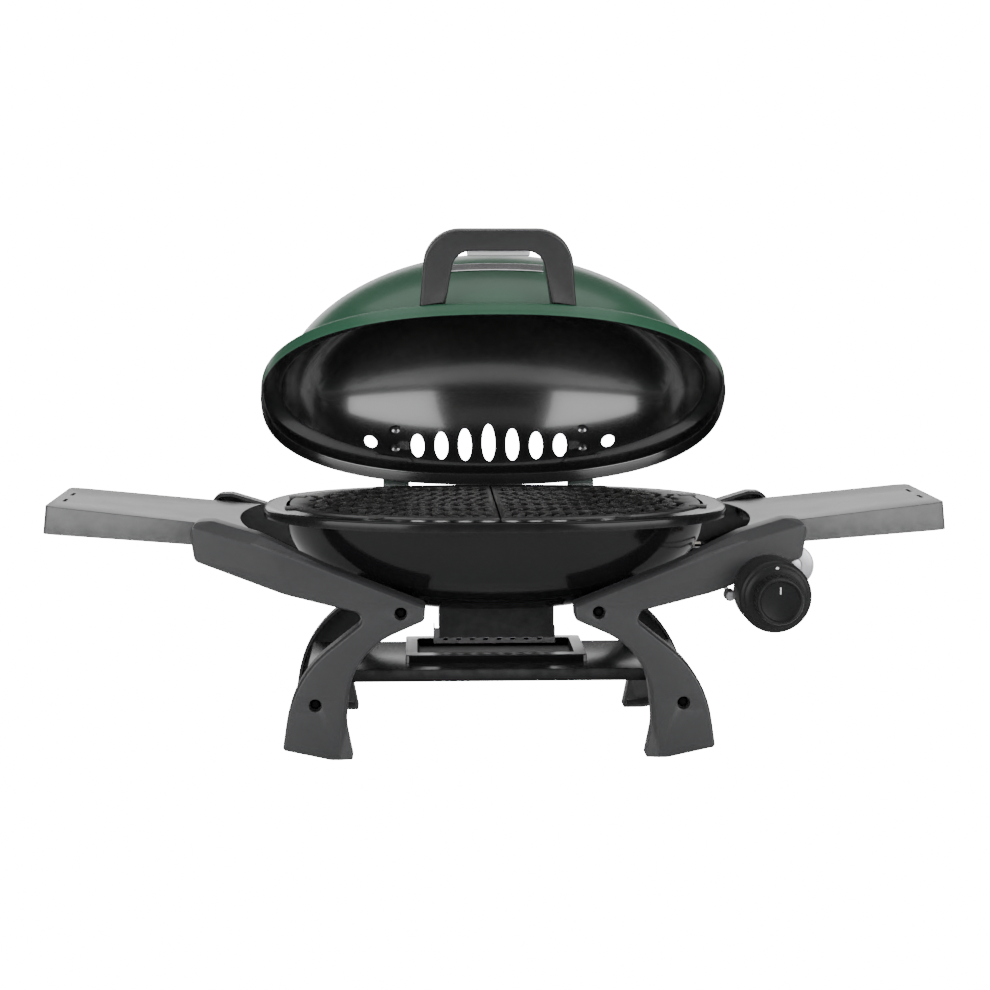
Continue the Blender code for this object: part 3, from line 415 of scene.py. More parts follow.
def lathe(profile, at, axis, steps=72):
    # profile is (radius, height) pairs in mm; a profile off the axis at both ends is closed on itself
    bm = bmesh.new()
    rows = []
    for r, h in profile:
        if r == 0:
            rows.append([bm.verts.new((0, 0, h * mm))] * steps)
        else:
            rows.append([bm.verts.new((r * mm * cos(2 * pi * i / steps), r * mm * sin(2 * pi * i / steps),
                                       h * mm))
                         for i in range(steps)])
    closed = profile[0][0] > 0 and profile[-1][0] > 0
    pairs = list(zip(rows, rows[1:])) + ([(rows[-1], rows[0])] if closed else [])
    for a, b in pairs:
        for i in range(steps):
            j = (i + 1) % steps
            corners = []
            for v in (a[i], a[j], b[j], b[i]):
                if v not in corners:
                    corners.append(v)
            if len(corners) > 2:
                bm.faces.new(corners)
    bmesh.ops.recalc_face_normals(bm, faces=bm.faces)
    made = fromBmesh("lathe", bm)
    turn = Vector(axis).to_track_quat("Z", "Y").to_matrix().to_4x4()
    made.matrix_world = Matrix.Translation([v * mm for v in at]) @ turn
    return made


def signedPower(value, power):
    return abs(value) ** power * (1 if value >= 0 else -1)


def oval(half, angle, plan):
    return Vector((half[0] * signedPower(cos(angle), 2 / plan), half[1] * signedPower(sin(angle), 2 / plan)))


def loft(rows, sectors=192):
    # rows are functions of the angle that give a point; the first row shrinks to the pole
    bm = bmesh.new()
    rings = [[bm.verts.new(row(2 * pi * i / sectors)) for i in range(sectors)] for row in rows]
    for a, b in zip(rings, rings[1:]):
        for i in range(sectors):
            j = (i + 1) % sectors
            bm.faces.new((a[i], a[j], b[j], b[i]))
    pole = bm.verts.new(sum((v.co for v in rings[0]), Vector()) / sectors)
    for i in range(sectors):
        bm.faces.new((pole, rings[0][(i + 1) % sectors], rings[0][i]))
    return bm


def roundedOutline(corners, step=6, like=None):
    # (x, y, radius) corners in mm; like gives another outline's corners, so that point counts agree
    outline = []
    count = len(corners)
    guide = like or corners
    for i, (x, y, radius) in enumerate(corners):
        here = Vector((x, y))
        before = Vector(corners[i - 1][:2]) - here
        after = Vector(corners[(i + 1) % count][:2]) - here
        gx, gy, _ = guide[i]
        guideTurn = pi - (Vector(guide[i - 1][:2]) - Vector((gx, gy))).angle(
            Vector(guide[(i + 1) % count][:2]) - Vector((gx, gy)))
        turn = pi - before.angle(after)
        reach = min(radius * tan(turn / 2), 0.6 * before.length, 0.6 * after.length)
        radius = reach / tan(turn / 2)
        start = here + before.normalized() * reach
        end = here + after.normalized() * reach
        centre = here + (before.normalized() + after.normalized()).normalized() * (radius / cos(turn / 2))
        pieces = max(3, round(guideTurn / radians(step)))
        first = start - centre
        swing = first.angle_signed(end - centre)
        for j in range(pieces + 1):
            arm = first.copy()
            arm.rotate(Matrix.Rotation(-swing * j / pieces, 2))
            outline.append((centre + arm) * mm)
    return outline


def plate(outlines, half, tidy=True):
    curve = bpy.data.curves.new("plate", "CURVE")
    curve.dimensions = "2D"
    curve.fill_mode = "BOTH" if half else "FRONT"
    curve.extrude = half
    for outline in outlines:
        spline = curve.splines.new("POLY")
        spline.points.add(len(outline) - 1)
        for slot, point in zip(spline.points, outline):
            slot.co = (point[0], point[1], 0, 1)
        spline.use_cyclic_u = True
    drawn = keep(bpy.data.objects.new("drawn", curve))
    bpy.context.view_layer.update()
    mesh = bpy.data.meshes.new_from_object(drawn.evaluated_get(bpy.context.evaluated_depsgraph_get()))
    bm = bmesh.new()
    bm.from_mesh(mesh)
    bmesh.ops.remove_doubles(bm, verts=bm.verts, dist=1e-6)
    if tidy:
        bmesh.ops.dissolve_limit(bm, angle_limit=radians(1), verts=bm.verts, edges=bm.edges)
    return fromBmesh("plate", bm)


# lid: dome, ledge and skirt, drawn closed and turned open
lidShape = {"half": (282, 198), "ledge": 24, "rim": 271, "skirt": 20, "height": 174, "power": 1.75,
            "sheet": 1.2,
            "plans": ((2.15, 2.0), (2.35, 2.4))}
slotShape = {"pitch": 30.6, "width": 17.2, "tall": 49, "step": 6.0, "foot": 21.5}


def lidPlan(side, skirt):
    # power of the lid's oval: dome or skirt, fuller in front than behind
    return lidShape["plans"][skirt][1 if side > 0 else 0]


def lidRows():
    shape = lidShape
    outer = shape["half"]
    inner = (outer[0] - shape["ledge"], outer[1] - shape["ledge"])
    base = shape["rim"] + shape["skirt"]

    def dome(level):
        reach = (1 - level * level) ** (1 / shape["power"])
        z = base + shape["height"] * level ** (2 / shape["power"])
        return lambda a: Vector((*(oval(inner, a, lidPlan(sin(a), 0)) * reach), z)) * mm

    def step(weight, z):
        return lambda a: Vector((*(oval(inner, a, lidPlan(sin(a), 0)) * (1 - weight)
                                 + oval(outer, a, lidPlan(sin(a), 1)) * weight), z)) * mm

    rows = [dome(sin(pi / 2 * (1 - (i + 1) / 36))) for i in range(35)]
    rows += [step(w, base + dz) for w, dz in ((0.02, -0.1), (0.06, -0.4), (0.14, -0.7), (0.4, -1.4),
                                              (0.7, -2.1),
                                              (0.88, -2.6), (0.95, -3.2), (0.985, -4.4), (1, -6.4))]
    rows.append(step(1, shape["rim"] + 4))
    rows.append(step(1, shape["rim"]))
    return rows


def insideLid(point, grow):
    # point in mm, lid closed
    outer = (lidShape["half"][0] + grow, lidShape["half"][1] + grow)
    inner = (outer[0] - lidShape["ledge"], outer[1] - lidShape["ledge"])
    base = lidShape["rim"] + lidShape["skirt"] + grow
    x, y, z = abs(point.x), abs(point.y), point.z
    dome, skirt = lidPlan(point.y, 0), lidPlan(point.y, 1)
    if z < base - 2:
        return (x / outer[0]) ** skirt + (y / outer[1]) ** skirt < 1
    level = max(0.0, (z - base) / lidShape["height"]) ** (lidShape["power"] / 2)
    if level >= 1:
        return False
    reach = (1 - level * level) ** (1 / lidShape["power"])
    return (x / (inner[0] * reach)) ** dome + (y / (inner[1] * reach)) ** dome < 1


def ellipseTools(places):
    bm = bmesh.new()
    for x, y, z, wide, tall, depth in places:
        made = bmesh.ops.create_cone(bm, cap_ends=True, segments=48, radius1=0.5, radius2=0.5,
                                     depth=1)["verts"]
        bmesh.ops.rotate(bm, verts=made, matrix=Matrix.Rotation(radians(90), 3, "X"))
        bmesh.ops.scale(bm, vec=(wide * mm, depth * mm, tall * mm), verts=made)
        bmesh.ops.translate(bm, vec=(x * mm, y * mm, z * mm), verts=made)
    return fromBmesh("ellipses", bm)


def makeLid():
    bm = loft(lidRows())
    bmesh.ops.recalc_face_normals(bm, faces=bm.faces)
    shell = fromBmesh("lid", bm)
    for name in ("greenEnamel", "lidEnamel"):
        shell.data.materials.append(looks[name])
    thicken(shell, lidShape["sheet"] * mm, inside=1)
    wall = lidShape["half"][1] - lidShape["ledge"]
    places = []
    for i in range(-3, 4):
        tall = slotShape["tall"] - slotShape["step"] * abs(i)
        places.append((i * slotShape["pitch"], wall - 5, lidShape["rim"] + slotShape["foot"] + tall / 2,
                       slotShape["width"], tall, 90))
    for side in (-1, 1):
        places.append((side * 152, wall - 34, lidShape["rim"] + 31, 16, 16, 100))
        places += [(side * 120, wall - 25, lidShape["rim"] + z, 5.2, 5.2, 80) for z in (27, 51)]
    cut(shell, ellipseTools(places))
    settle(shell, "lidShellFine", ["greenEnamel", "lidEnamel"], "lid", "green_enamel", ["lid_shell"],
           lidTurn(), 40)


# handle: an arch of (x, y, corner radius) points in its own tilted plane, a guard and a bright strip
handleShape = {"outer": ((-90, -12, 3), (-88, 15, 25), (-83, 85, 42), (83, 85, 42), (88, 15, 25),
                         (90, -12, 3)),
               "inner": ((62, -12, 3), (58, 12, 12), (50, 61, 22), (-50, 61, 22), (-58, 12, 12),
                         (-62, -12, 3)),
               "half": 10.5, "edge": 9, "foot": (-186, 295), "lean": 135}
stripShape = {"from": 363.6, "tall": 17.8, "half": 56.5, "thick": 1.3}


def handlePlane():
    y, z = handleShape["foot"]
    return Matrix.Translation((0, y * mm, z * mm)) @ Matrix.Rotation(radians(handleShape["lean"]), 4, "X")


def restFeet(arch):
    # the feet's ends follow the lid: a point inside it moves up the leg until it is on the surface
    bpy.context.view_layer.update()
    mesh = bpy.data.meshes.new_from_object(arch.evaluated_get(bpy.context.evaluated_depsgraph_get()))
    up = handlePlane().to_3x3() @ Vector((0, 1, 0))
    place = handlePlane()
    for v in mesh.vertices:
        spot = place @ v.co / mm
        while insideLid(spot, 0.2):
            spot += up * 0.25
        v.co = spot * mm
    keep(bpy.data.objects.new("archOnLid", mesh))


def makeHandle():
    arch = plate([roundedOutline(handleShape["outer"] + handleShape["inner"], 4)], handleShape["half"] * mm)
    arch.matrix_world = handlePlane()
    roundEdges(arch, handleShape["edge"] * mm, 8)
    restFeet(arch)
    settle(scratch[-1], "lidHandleFine", "handlePlastic", "lid", "grip", ["lid_handle"], lidTurn(), 50)
    guard = block((-36 * mm, 55 * mm, -9 * mm), (36 * mm, 63.7 * mm, 9 * mm))
    guard.matrix_world = handlePlane()
    roundEdges(guard, 2 * mm, 4)
    settle(guard, "heatGuardFine", "brightSteel", "lid", "bright_steel", ["handle_heat_guard"], lidTurn())
    # the bright strip follows the dome's front
    bm = bmesh.new()
    base = lidShape["rim"] + lidShape["skirt"]
    grid = []
    for k in range(9):
        z = stripShape["from"] + stripShape["tall"] * k / 8
        level = ((z - base) / lidShape["height"]) ** (lidShape["power"] / 2)
        reach = (1 - level * level) ** (1 / lidShape["power"])
        a, b = (258.3 * reach, 174.3 * reach)
        grid.append([bm.verts.new(Vector((x, -b * (1 - (abs(x) / a) ** 2.15) ** (1 / 2.15), z)) * mm)
                     for x in (stripShape["half"] * (i / 24 - 1) for i in range(49))])
    for low, high in zip(grid, grid[1:]):
        for i in range(48):
            bm.faces.new((low[i], low[i + 1], high[i + 1], high[i]))
    bmesh.ops.recalc_face_normals(bm, faces=bm.faces)
    if sum(f.normal.y for f in bm.faces) > 0:
        bmesh.ops.reverse_faces(bm, faces=bm.faces)
    strip = fromBmesh("strip", bm)
    thicken(strip, stripShape["thick"] * mm, offset=1)
    roundEdges(strip, 0.4 * mm, 2, 60)
    settle(strip, "trimStripFine", "brightSteel", "lid", "bright_steel", ["lid_trim_strip"], lidTurn(), 40)


makeLid()
makeHandle()
print("lid made")


# bowl with its flange and drain neck
bowlShape = {"half": (251, 168), "rim": (276, 193), "top": 279, "depth": 124, "power": 2.3, "plan": 2.4,
             "lip": 11}


def bowlRows():
    shape = bowlShape
    half = shape["half"]
    top = shape["top"] - 1.2

    def bowl(level):
        reach = (1 - level * level) ** (1 / shape["power"])
        z = top - shape["depth"] * level ** (2 / shape["power"])
        return lambda a: Vector((*(oval(half, a, shape["plan"]) * reach), z)) * mm

    def step(weight, z):
        rim = (shape["rim"][0] - 1.2, shape["rim"][1] - 1.2)
        return lambda a: Vector((*(oval(half, a, shape["plan"]) * (1 - weight)
                                 + oval(rim, a, shape["plan"]) * weight), z)) * mm

    rows = [bowl(sin(pi / 2 * (1 - (i + 1) / 36))) for i in range(36)]
    rows += [step(w, top + dz) for w, dz in ((0.3, 0), (0.7, 0), (0.9, 0), (0.96, -0.5), (0.99, -1.6),
                                             (1, -3))]
    rows.append(step(1, shape["top"] - shape["lip"]))
    return rows


def makeBowl():
    bm = loft(bowlRows())
    bmesh.ops.recalc_face_normals(bm, faces=bm.faces)
    flange = [f for f in bm.faces if f.calc_center_median().z > 277.5 * mm]
    if sum(f.normal.z for f in flange) > 0:
        bmesh.ops.reverse_faces(bm, faces=bm.faces)
    shell = fromBmesh("bowl", bm)
    thicken(shell, 1.2 * mm)
    cut(shell, block((-60.5 * mm, -46.5 * mm, 100 * mm), (60.5 * mm, 46.5 * mm, 175 * mm)))
    cut(shell, lathe([(0, 45), (11, 45), (11, 0), (0, 0)], (200, 0, 212), (1, 0, 0)))
    cut(shell, lathe([(0, 50), (4.3, 50), (4.3, 0), (0, 0)], (200, -40, 234), (1, 0, 0)))
    settle(shell, "bowlShellFine", "blackEnamel", "base", "black_enamel", ["bowl_shell"], angle=40)


makeBowl()
print("bowl made")


# the four frames: a front panel inside a chamfer, widest along the arm's top and the leg's inner edge
frameShape = {"front": -153, "back": -121, "wall": 3.5, "chamfer": 6}
frameCorners = (
    (84.5, 179, 4), (86, 161, 7), (168, 125, 115), (176, 40, 60), (168, 0, 2), (194, 0, 30), (249, 12, 4),
    (236.5, 96, 130), (147.8, 167, 9), (245, 192, 150), (346, 231, 9), (353, 276, 20), (325, 277, 20),
    (273, 261, 60), (200, 225, 150),
)
# inset of the front panel's edge that leaves each corner, in the same order
frameInsets = (2, 2.5, 4, 13, 0.8, 1, 2, 2, 2, 2, 4, 6, 12, 11, 3.6)


def insetCorners(corners, insets):
    lines = []
    count = len(corners)
    for i in range(count):
        a = Vector(corners[i][:2])
        b = Vector(corners[(i + 1) % count][:2])
        along = (b - a).normalized()
        inward = Vector((-along.y, along.x))
        lines.append((a + inward * insets[i], along))
    made = []
    for i in range(count):
        (p, u), (q, v) = lines[i - 1], lines[i]
        cross = u.x * v.y - u.y * v.x
        if abs(cross) < 0.03:
            spot = (p + q) / 2
        else:
            gap = q - p
            spot = p + u * ((gap.x * v.y - gap.y * v.x) / cross)
        bend = cross > 0
        radius = corners[i][2] - insets[i] if bend else corners[i][2] + insets[i]
        made.append((spot.x, spot.y, max(1.0, radius)))
    return made


def circle(at, radius, steps=48):
    return [Vector((at[0] + radius * cos(2 * pi * i / steps), at[1] + radius * sin(2 * pi * i / steps))) * mm
            for i in range(steps)]


def joinRings(bm, levels):
    # levels are (outline, y in mm) pairs with the same number of points
    rings = [[bm.verts.new((p[0], y * mm, p[1])) for p in ring] for ring, y in levels]
    count = len(rings[0])
    for a, b in zip(rings, rings[1:]):
        for i in range(count):
            j = (i + 1) % count
            bm.faces.new((a[i], a[j], b[j], b[i]))


def addFace(bm, outlines, y):
    # a flat face with holes, standing up at y
    mesh = plate(outlines, 0, False).data.copy()
    mesh.transform(Matrix.Translation((0, y * mm, 0)) @ Matrix.Rotation(radians(90), 4, "X"))
    bm.from_mesh(mesh)


def makeFrame():
    front, back, wall = frameShape["front"], frameShape["back"], frameShape["wall"]
    shoulder = front + frameShape["chamfer"]
    holes = ((113, 170), (211, 64.5))
    pivot = (324, 249)

    def ring(share, extra):
        inset = [share * i + extra for i in frameInsets]
        return roundedOutline(insetCorners(frameCorners, inset), 5, frameCorners)

    outer = roundedOutline(frameCorners, 5)
    hollow, under = ring(0, wall), ring(1, wall)
    panel = ring(1, 1.4)
    bm = bmesh.new()
    addFace(bm, [panel] + [circle(at, 8.1) for at in holes], front)
    joinRings(bm, [(panel, front), (ring(1, 0.6), front + 0.15), (ring(0.96, 0.1), front + 0.6),
                   (ring(0.1, 0.1), shoulder - 0.5), (ring(0.02, 0), shoulder + 0.1), (outer, shoulder + 1),
                   (outer, back + 0.6), (ring(0, 0.3), back + 0.1), (ring(0, 0.9), back),
                   (hollow, back), (hollow, shoulder + 1), (under, front + wall)])
    addFace(bm, [under] + [circle(at, 11) for at in holes] + [circle(pivot, 9)], front + wall)
    for at in holes:
        joinRings(bm, [(circle(at, 8.1), front), (circle(at, 7.6), front + 0.2),
                       (circle(at, 7.4), front + 0.7),
                       (circle(at, 7.4), front + 12), (circle(at, 3.4), front + 12), (circle(at, 3.4), back),
                       (circle(at, 11), back), (circle(at, 11), front + wall)])
    joinRings(bm, [(circle(pivot, 9), front + wall), (circle(pivot, 9), back), (circle(pivot, 4.3), back),
                   (circle(pivot, 4.3), -147)])
    addFace(bm, [circle(pivot, 4.3)], -147)
    bmesh.ops.remove_doubles(bm, verts=bm.verts, dist=2e-6)
    bmesh.ops.recalc_face_normals(bm, faces=bm.faces)
    shell = fromBmesh("frame", bm)
    right = settle(shell, "frontRightFrameFine", "framePlastic", "base", "frame_plastic",
                   ["front_right_frame"],
                   angle=38)
    mirrorPiece(right, "frontLeftFrameFine", "base", ["front_left_frame"], angle=38)
    rear = mirrorPiece(right, "rearRightFrameFine", "base", ["rear_right_frame"], 1, 38)
    mirrorPiece(rear, "rearLeftFrameFine", "base", ["rear_left_frame"], angle=38)


makeFrame()
print("frames made")


# side tables
tableShape = {"length": 201, "inner": -18, "arc": 385, "half": (112, 99), "top": 19, "tilt": 6, "sheet": 1.6}


def makeTables():
    shape = tableShape
    side = []
    spread = shape["half"][1] - shape["half"][0]
    for u in (-7, 7, 18, 60, 120, 185):
        side.append((u, shape["half"][0] + spread * max(0, u) / shape["length"]))
    side += [(shape["length"] - 3, shape["half"][1] - 4), (shape["length"], shape["half"][1] - 12)]
    arc = []
    for i in range(-20, 21):
        y = 0.05 * i * shape["half"][0]
        arc.append((shape["inner"] - shape["arc"] + (shape["arc"] ** 2 - y * y) ** 0.5, y))
    outline = [Vector(p) * mm for p in side + [(x, -y) for x, y in reversed(side)] + arc]
    sheet = plate([outline], 0)
    bm = bmesh.new()
    bm.from_mesh(sheet.data)
    if sum(f.normal.z for f in bm.faces) < 0:
        bmesh.ops.reverse_faces(bm, faces=bm.faces)
    edges = [e for e in bm.edges if e.is_boundary and min(v.co.x for v in e.verts) > -7.1 * mm]
    made = bmesh.ops.extrude_edge_only(bm, edges=edges)["geom"]
    for v in made:
        if isinstance(v, bmesh.types.BMVert):
            u = v.co.x / mm
            v.co.z -= (25.5 if u < 8 else 22 + 11 * (u - 18) / (shape["length"] - 18)) * mm
    table = fromBmesh("table", bm)
    roundEdges(table, 1.3 * mm, 3)
    thicken(table, shape["sheet"] * mm)
    pivot = Matrix.Translation((324 * mm, 0, 249 * mm))
    turn = pivot @ Matrix.Rotation(radians(-shape["tilt"]), 4, "Y")
    table.matrix_world = Matrix.Translation((0, 0, shape["top"] * mm))
    bore = lathe([(0, 400), (4.3, 400), (4.3, 0), (0, 0)], (0, -200, 0), (0, 1, 0))
    cut(table, bore)
    for y in (-30, 30):
        slot = block((185 * mm, (y - 13) * mm, -0.01), (189 * mm, (y + 13) * mm, 0.03))
        roundEdges(slot, 1.9 * mm, 4)
        cut(table, slot)
    right = settle(table, "rightTableFine", "tablePlastic", "right_table", "table_plastic",
                   ["right_side_table"], turn)
    mirrorPiece(right, "leftTableFine", "left_table", ["left_side_table"])


makeTables()
print("tables made")


# shelf, drip tray and louvre plate under the bowl
shelfShape = {"top": 93, "half": (223, 92), "flange": 40, "notch": (180, 14)}


def makeShelf():
    x, y = shelfShape["half"]
    top = shelfShape["top"]
    bm = bmesh.new()
    section = [(-y, top - shelfShape["flange"]), (-y, top), (y, top), (y, top - shelfShape["flange"])]
    rows = [[bm.verts.new((sx * mm, a * mm, b * mm)) for a, b in section] for sx in (-x, x)]
    for i in range(3):
        bm.faces.new((rows[0][i], rows[0][i + 1], rows[1][i + 1], rows[1][i]))
    bmesh.ops.recalc_face_normals(bm, faces=bm.faces)
    if sum(f.normal.z * f.calc_area() for f in bm.faces) < 0:
        bmesh.ops.reverse_faces(bm, faces=bm.faces)
    shelf = fromBmesh("shelf", bm)
    roundEdges(shelf, 2 * mm, 4)
    thicken(shelf, 1.2 * mm)
    reach, drop = shelfShape["notch"]
    cut(shelf, block((-reach * mm, -0.2, 0), (reach * mm, 0.2, (top - drop) * mm)))
    for side in (-211, 211):
        cut(shelf, lathe([(0, 400), (7.3, 400), (7.3, 0), (0, 0)], (side, -200, 64.5), (0, 1, 0)))
    settle(shelf, "baseShelfFine", "shelfEnamel", "base", "shelf_enamel", ["base_shelf"])


def roundedRectangle(x, y, radius):
    return roundedOutline([(x, -y, radius), (x, y, radius), (-x, y, radius), (-x, -y, radius)], 10)


# tray levels: half width, half depth, corner radius, height
trayShape = {"middle": 14, "sheet": 0.9, "ribs": 6,
             "levels": ((108, 64, 4, 93.3), (108, 64, 4, 101.4), (107.3, 63.3, 4, 102.3), (95, 48, 5, 102.3),
                        (94, 47, 5, 101.6), (91.5, 45, 5, 95.2), (90.5, 44, 5, 94.5))}


def makeTray():
    # rim, pressed well and short grooves at the left end
    middle = trayShape["middle"]
    levels = trayShape["levels"]
    bm = bmesh.new()
    rings = [[bm.verts.new((p[0], p[1] + middle * mm, z * mm)) for p in roundedRectangle(a, b, r)]
             for a, b, r, z in levels]
    for a, b in zip(rings, rings[1:]):
        for i in range(len(a)):
            j = (i + 1) % len(a)
            bm.faces.new((a[i], a[j], b[j], b[i]))
    bm.faces.new(rings[-1])
    bmesh.ops.recalc_face_normals(bm, faces=bm.faces)
    if sum(f.normal.z * f.calc_area() for f in bm.faces) < 0:
        bmesh.ops.reverse_faces(bm, faces=bm.faces)
    tray = fromBmesh("tray", bm)
    for name in ("traySteel", "darkSteelAndPaintedShade"):
        tray.data.materials.append(looks[name])
    for face in tray.data.polygons:
        # painted shade: the outer walls under the rim and the pressed well take the near-black, almost
        # unreflecting finish, standing in for the shadow below the rim
        face.material_index = 1 if face.center.z < 101 * mm and abs(face.center.x) < 93.5 * mm else 0
    thicken(tray, trayShape["sheet"] * mm)
    for i in range(trayShape["ribs"]):
        x = -106 + 2.0 * i
        rib = block((x * mm, -30 * mm, 101.6 * mm), ((x + 0.9) * mm, 58 * mm, 102.3 * mm))
        cut(tray, rib)
    settle(tray, "dripTrayFine", ["traySteel", "darkSteelAndPaintedShade"], "drip_tray", "tray_steel", ["drip_tray"])


louvreShape = {"half": 74, "front": 14, "back": 50, "levels": (104.5, 123.6), "sheet": 1.5, "slots": 8,
               "pitch": 16.4, "width": 6, "tall": 12, "lean": 0.5}


def makeLouvre():
    # a front wall with leaning slots, and a short wall back at each end
    shape = louvreShape
    bm = bmesh.new()
    half, front, back = shape["half"], shape["front"], shape["back"]
    line = [(-half, back), (-half, front), (half, front), (half, back)]
    rows = [[bm.verts.new((x * mm, y * mm, z * mm)) for x, y in line] for z in shape["levels"]]
    for i in range(3):
        bm.faces.new((rows[0][i], rows[0][i + 1], rows[1][i + 1], rows[1][i]))
    bmesh.ops.recalc_face_normals(bm, faces=bm.faces)
    if sum(f.normal.y * f.calc_area() for f in bm.faces) > 0:
        bmesh.ops.reverse_faces(bm, faces=bm.faces)
    louvre = fromBmesh("louvre", bm)
    thicken(louvre, shape["sheet"] * mm)
    bm = bmesh.new()
    for i in range(shape["slots"]):
        made = bmesh.ops.create_cube(bm, size=1)["verts"]
        bmesh.ops.scale(bm, vec=(shape["width"] * mm, 12 * mm, shape["tall"] * mm), verts=made)
        for v in made:
            v.co.x += shape["lean"] * v.co.z + (i - (shape["slots"] - 1) / 2) * shape["pitch"] * mm
        bmesh.ops.translate(bm, vec=(0, front * mm, 114 * mm), verts=made)
    slots = fromBmesh("louvreSlots", bm)
    roundEdges(slots, 1.2 * mm, 3)
    cut(louvre, slots)
    settle(louvre, "ventPlateFine", "louvreZinc", "base", "zinc", ["vent_plate"])


makeShelf()
makeTray()
makeLouvre()
print("shelf, tray and louvre made")


# grates: wavy cast bars inside a rim
grateShape = {"top": 280.5, "half": 5, "columns": 15, "pitch": 15.4, "wave": 4.2, "length": 44}


def makeGrates():
    edge = (245.3, 162.3)
    outline = []
    for i in range(61):
        p = oval(edge, -pi / 2 + pi * i / 60, 2.4)
        outline.append(Vector((max(p.x, 1.2), p.y)) * mm)
    slots = []
    for column in range(grateShape["columns"]):
        middle = 15 + grateShape["pitch"] * column
        limit = (edge[1] - 11) * (1 - min(1, (middle + 7) / (edge[0] - 9)) ** 2.4) ** (1 / 2.4)
        rows = max(1, int(2 * limit / 46))
        span = 2 * limit / rows
        for row in range(rows):
            low = -limit + span * row + 3.2
            high = -limit + span * (row + 1) - 3.2
            if high - low < 9:
                continue
            steps = 10
            levels = [low + (high - low) * k / steps for k in range(steps + 1)]
            wave = [(middle + grateShape["wave"] * sin(2 * pi * y / grateShape["length"]), y)
                    for y in levels]
            left = [Vector((x - 4.4, y)) * mm for x, y in wave]
            right = [Vector((x + 4.4, y)) * mm for x, y in reversed(wave)]
            slots.append(left + right)
    grate = plate([outline, *slots], grateShape["half"] * mm)
    grate.location = (0, 0, (grateShape["top"] - grateShape["half"]) * mm)
    roundEdges(grate, 1.2 * mm, 2)
    lugs = []
    for angle in (-60, -15, 15, 60):
        p = oval(edge, radians(angle), 2.4)
        lug = block((-10 * mm, -6 * mm, -1.1 * mm), (10 * mm, 6 * mm, 1.1 * mm))
        lug.matrix_world = Matrix.Translation((p.x * mm, p.y * mm, 280.5 * mm)) @ Matrix.Rotation(
            Vector((1, 0)).angle_signed(p) * -1, 4, "Z")
        lugs.append(lug)
    right = settle(merge([grate, *lugs]), "rightGrateFine", "castIron", "right_grate", "cast_iron",
                   ["right_grate"])
    mirrorPiece(right, "leftGrateFine", "left_grate", ["left_grate"])


makeGrates()
print("grates made")


# control group: housing, bezel with its mark, knob with a raised rim and pointer
controlShape = {"at": (307, 195), "radius": 41, "back": -153.6, "face": -205, "knob": 27}


def makeControl():
    x, z = controlShape["at"]
    back, face = controlShape["back"], controlShape["face"]
    depth = back - face
    r = controlShape["radius"]
    front = (0, -1, 0)
    cup = [(9, depth), (r - 6, depth), (r - 3, depth - 0.7), (r - 1, depth - 2.4), (r, depth - 5), (r, 0.8),
           (r - 0.8, 0), (r - 2.5, 0), (r - 2.5, depth - 4), (9, depth - 4)]
    settle(lathe(cup, (x, back, z), front, 96), "controlHousingFine", "gripPlastic", "base", "grip",
           ["control_housing"])
    ring = [(9, 5), (30, 5), (32.5, 4.4), (35.4, 2.4), (36, 1), (36, 0), (9, 0)]
    settle(lathe(ring, (x, face - 0.3, z), front, 96), "controlBezelFine", "gripPlastic", "base", "grip",
           ["control_bezel"])
    dot = lathe([(0, 0.4), (1.7, 0.4), (2.0, 0.1), (2.0, 0), (0, 0)], (x, face - 4.2, z + 33.2), front, 32)
    settle(dot, "bezelMark", "whiteMark", "base", "grip", [])
    k = controlShape["knob"]
    knob = [(0, 18), (20.4, 18), (21.4, 18.4), (22.8, 20.4), (24, 21), (25.2, 20.7), (26.4, 18.8), (k, 16),
            (k, 0.6),
            (k - 0.6, 0), (24, 0), (24, 12), (6, 12), (6, 4), (3.4, 4), (3.4, 14), (0, 14)]
    turned = lathe(knob, (x, face - 9.8, z), front, 120)
    teeth = bmesh.new()
    for i in range(30):
        made = bmesh.ops.create_cone(teeth, cap_ends=True, segments=12, radius1=0.8 * mm, radius2=0.8 * mm,
                                     depth=15 * mm)["verts"]
        angle = 2 * pi * i / 30
        spot = Vector((x * mm + 27.3 * mm * cos(angle), (face - 9.8 - 6) * mm,
                       z * mm + 27.3 * mm * sin(angle)))
        bmesh.ops.transform(teeth, verts=made,
                            matrix=Matrix.Translation(spot) @ Matrix.Rotation(radians(90), 4, "X"))
    cut(turned, fromBmesh("teeth", teeth))
    settle(turned, "controlKnobFine", "gripPlastic", "knob", "grip", ["control_knob"])
    pointer = block((-0.7 * mm, -0.4 * mm, 8 * mm), (0.7 * mm, 0.2 * mm, 16 * mm))
    pointer.location = (x * mm, (face - 9.8 - 18) * mm, z * mm)
    roundEdges(pointer, 0.25 * mm, 2)
    settle(pointer, "knobPointer", "whiteMark", "knob", "grip", [])


regulatorShape = {"at": (341, 217), "radius": 25, "back": -100, "cover": -112.3}


def makeRegulator():
    front = (0, -1, 0)
    x, z = regulatorShape["at"]
    r = regulatorShape["radius"]
    body = [(0, 12), (r - 1, 12), (r, 11.2), (r, 9.6), (r - 1, 8.8), (0.86 * r, 7), (0.7 * r, 4),
            (0.5 * r, 0), (0, 0)]
    settle(lathe(body, (x, regulatorShape["back"], z), front, 96), "regulatorBodyFine", "zincPlate", "base",
           "zinc",
           ["regulator_body"])
    cover = [(0, 6), (0.33 * r, 6), (0.38 * r, 5.4), (0.45 * r, 3.6), (0.82 * r, 3), (0.88 * r, 2.4),
             (0.92 * r, 1.8),
             (r - 0.5, 1.8), (r, 1.3), (r, 0.4), (r - 0.5, 0), (0, 0)]
    settle(lathe(cover, (x, regulatorShape["cover"], z), front, 96), "regulatorCoverFine", "zincPlate",
           "base", "zinc",
           ["regulator_cover"])


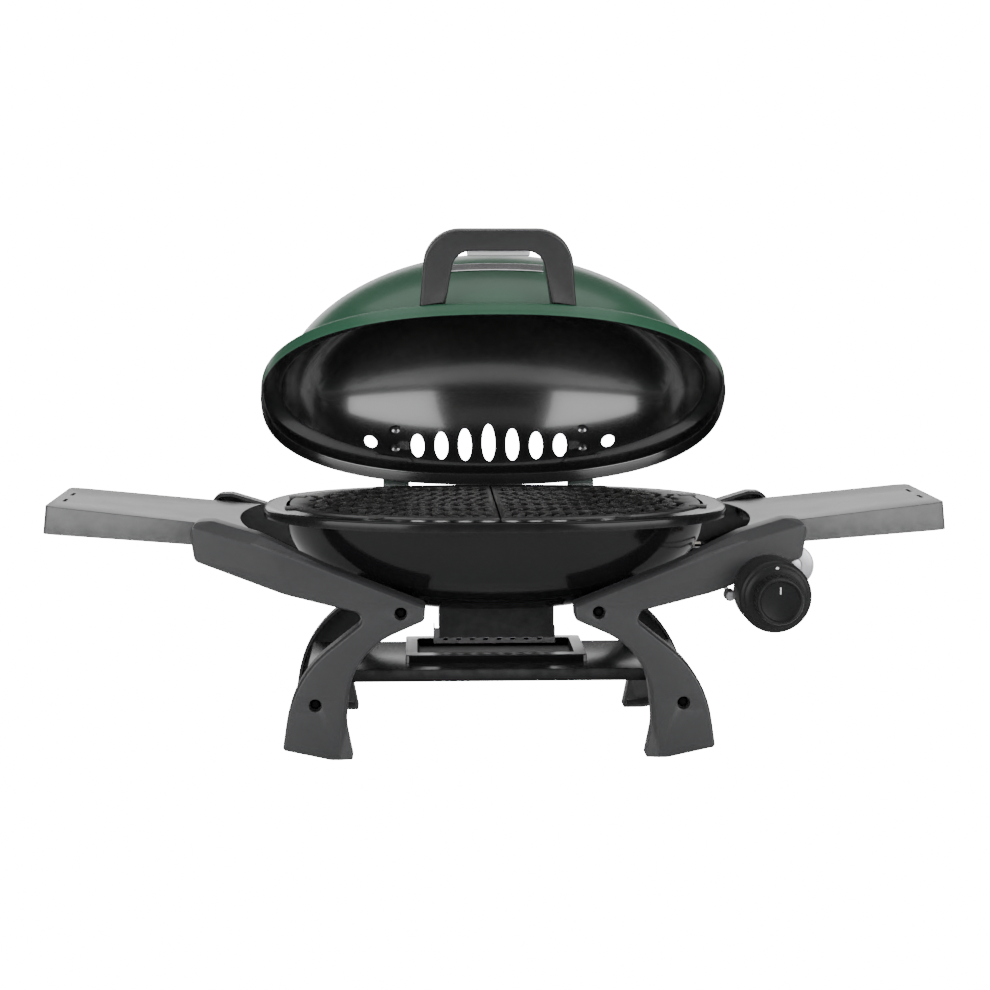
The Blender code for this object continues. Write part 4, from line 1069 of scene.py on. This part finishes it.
makeControl()
makeRegulator()
print("control group made")


# the remaining CAD nodes keep their shape and take a finish
nodeFinish = {
    "bowl_neck": "shelfEnamel", "burner": "brightSteel", "electrode": "ceramic",
    "ignition_lead": "gripPlastic", "valve_body": "brass", "inlet_fitting": "brass",
    "air_shutter": "zincPlate",
    "gas_fitting": "zincPlate",
}
for place in ("front_left", "front_right", "rear_left", "rear_right"):
    nodeFinish["node_screw_" + place] = nodeFinish["leg_screw_" + place] = "darkSteelAndPaintedShade"
    nodeFinish["bowl_bracket_" + place] = "blackEnamel"


def dressNodes():
    for name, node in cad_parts.items():
        if node.hide_render:
            continue
        look = looks[nodeFinish.get(name, "brightSteel")]
        if not node.material_slots:
            node.data.materials.append(look)
        for slot in node.material_slots:
            slot.material = look


dressNodes()


def makeFloor():
    bm = bmesh.new()
    bmesh.ops.create_circle(bm, cap_ends=True, segments=96, radius=14)
    mesh = bpy.data.meshes.new("floor")
    bm.to_mesh(mesh)
    bm.free()
    floor = bpy.data.objects.new("floor", mesh)
    floor.location.z = -0.0005
    bpy.context.scene.collection.objects.link(floor)
    paint = bpy.data.materials.new("paleFloor")
    paint.use_nodes = True
    shader = paint.node_tree.nodes["Principled BSDF"]
    shader.inputs["Base Color"].default_value = (*light["floor"], 1)
    shader.inputs["Roughness"].default_value = 0.9
    shader.inputs["Specular IOR Level"].default_value = 0.1
    # the floor is as pale as the backdrop to the camera alone, so that it doesn't light the dark enamel
    tree = paint.node_tree
    glow = tree.nodes.new("ShaderNodeEmission")
    glow.inputs["Strength"].default_value = light["backdrop"]
    path = tree.nodes.new("ShaderNodeLightPath")
    mix = tree.nodes.new("ShaderNodeMixShader")
    share = mathNode(tree, "MULTIPLY", path.outputs["Is Camera Ray"], 0.93)
    tree.links.new(share, mix.inputs[0])
    tree.links.new(shader.outputs[0], mix.inputs[1])
    tree.links.new(glow.outputs[0], mix.inputs[2])
    tree.links.new(mix.outputs[0], tree.nodes["Material Output"].inputs["Surface"])
    floor.data.materials.append(paint)


makeFloor()
print("scene made")
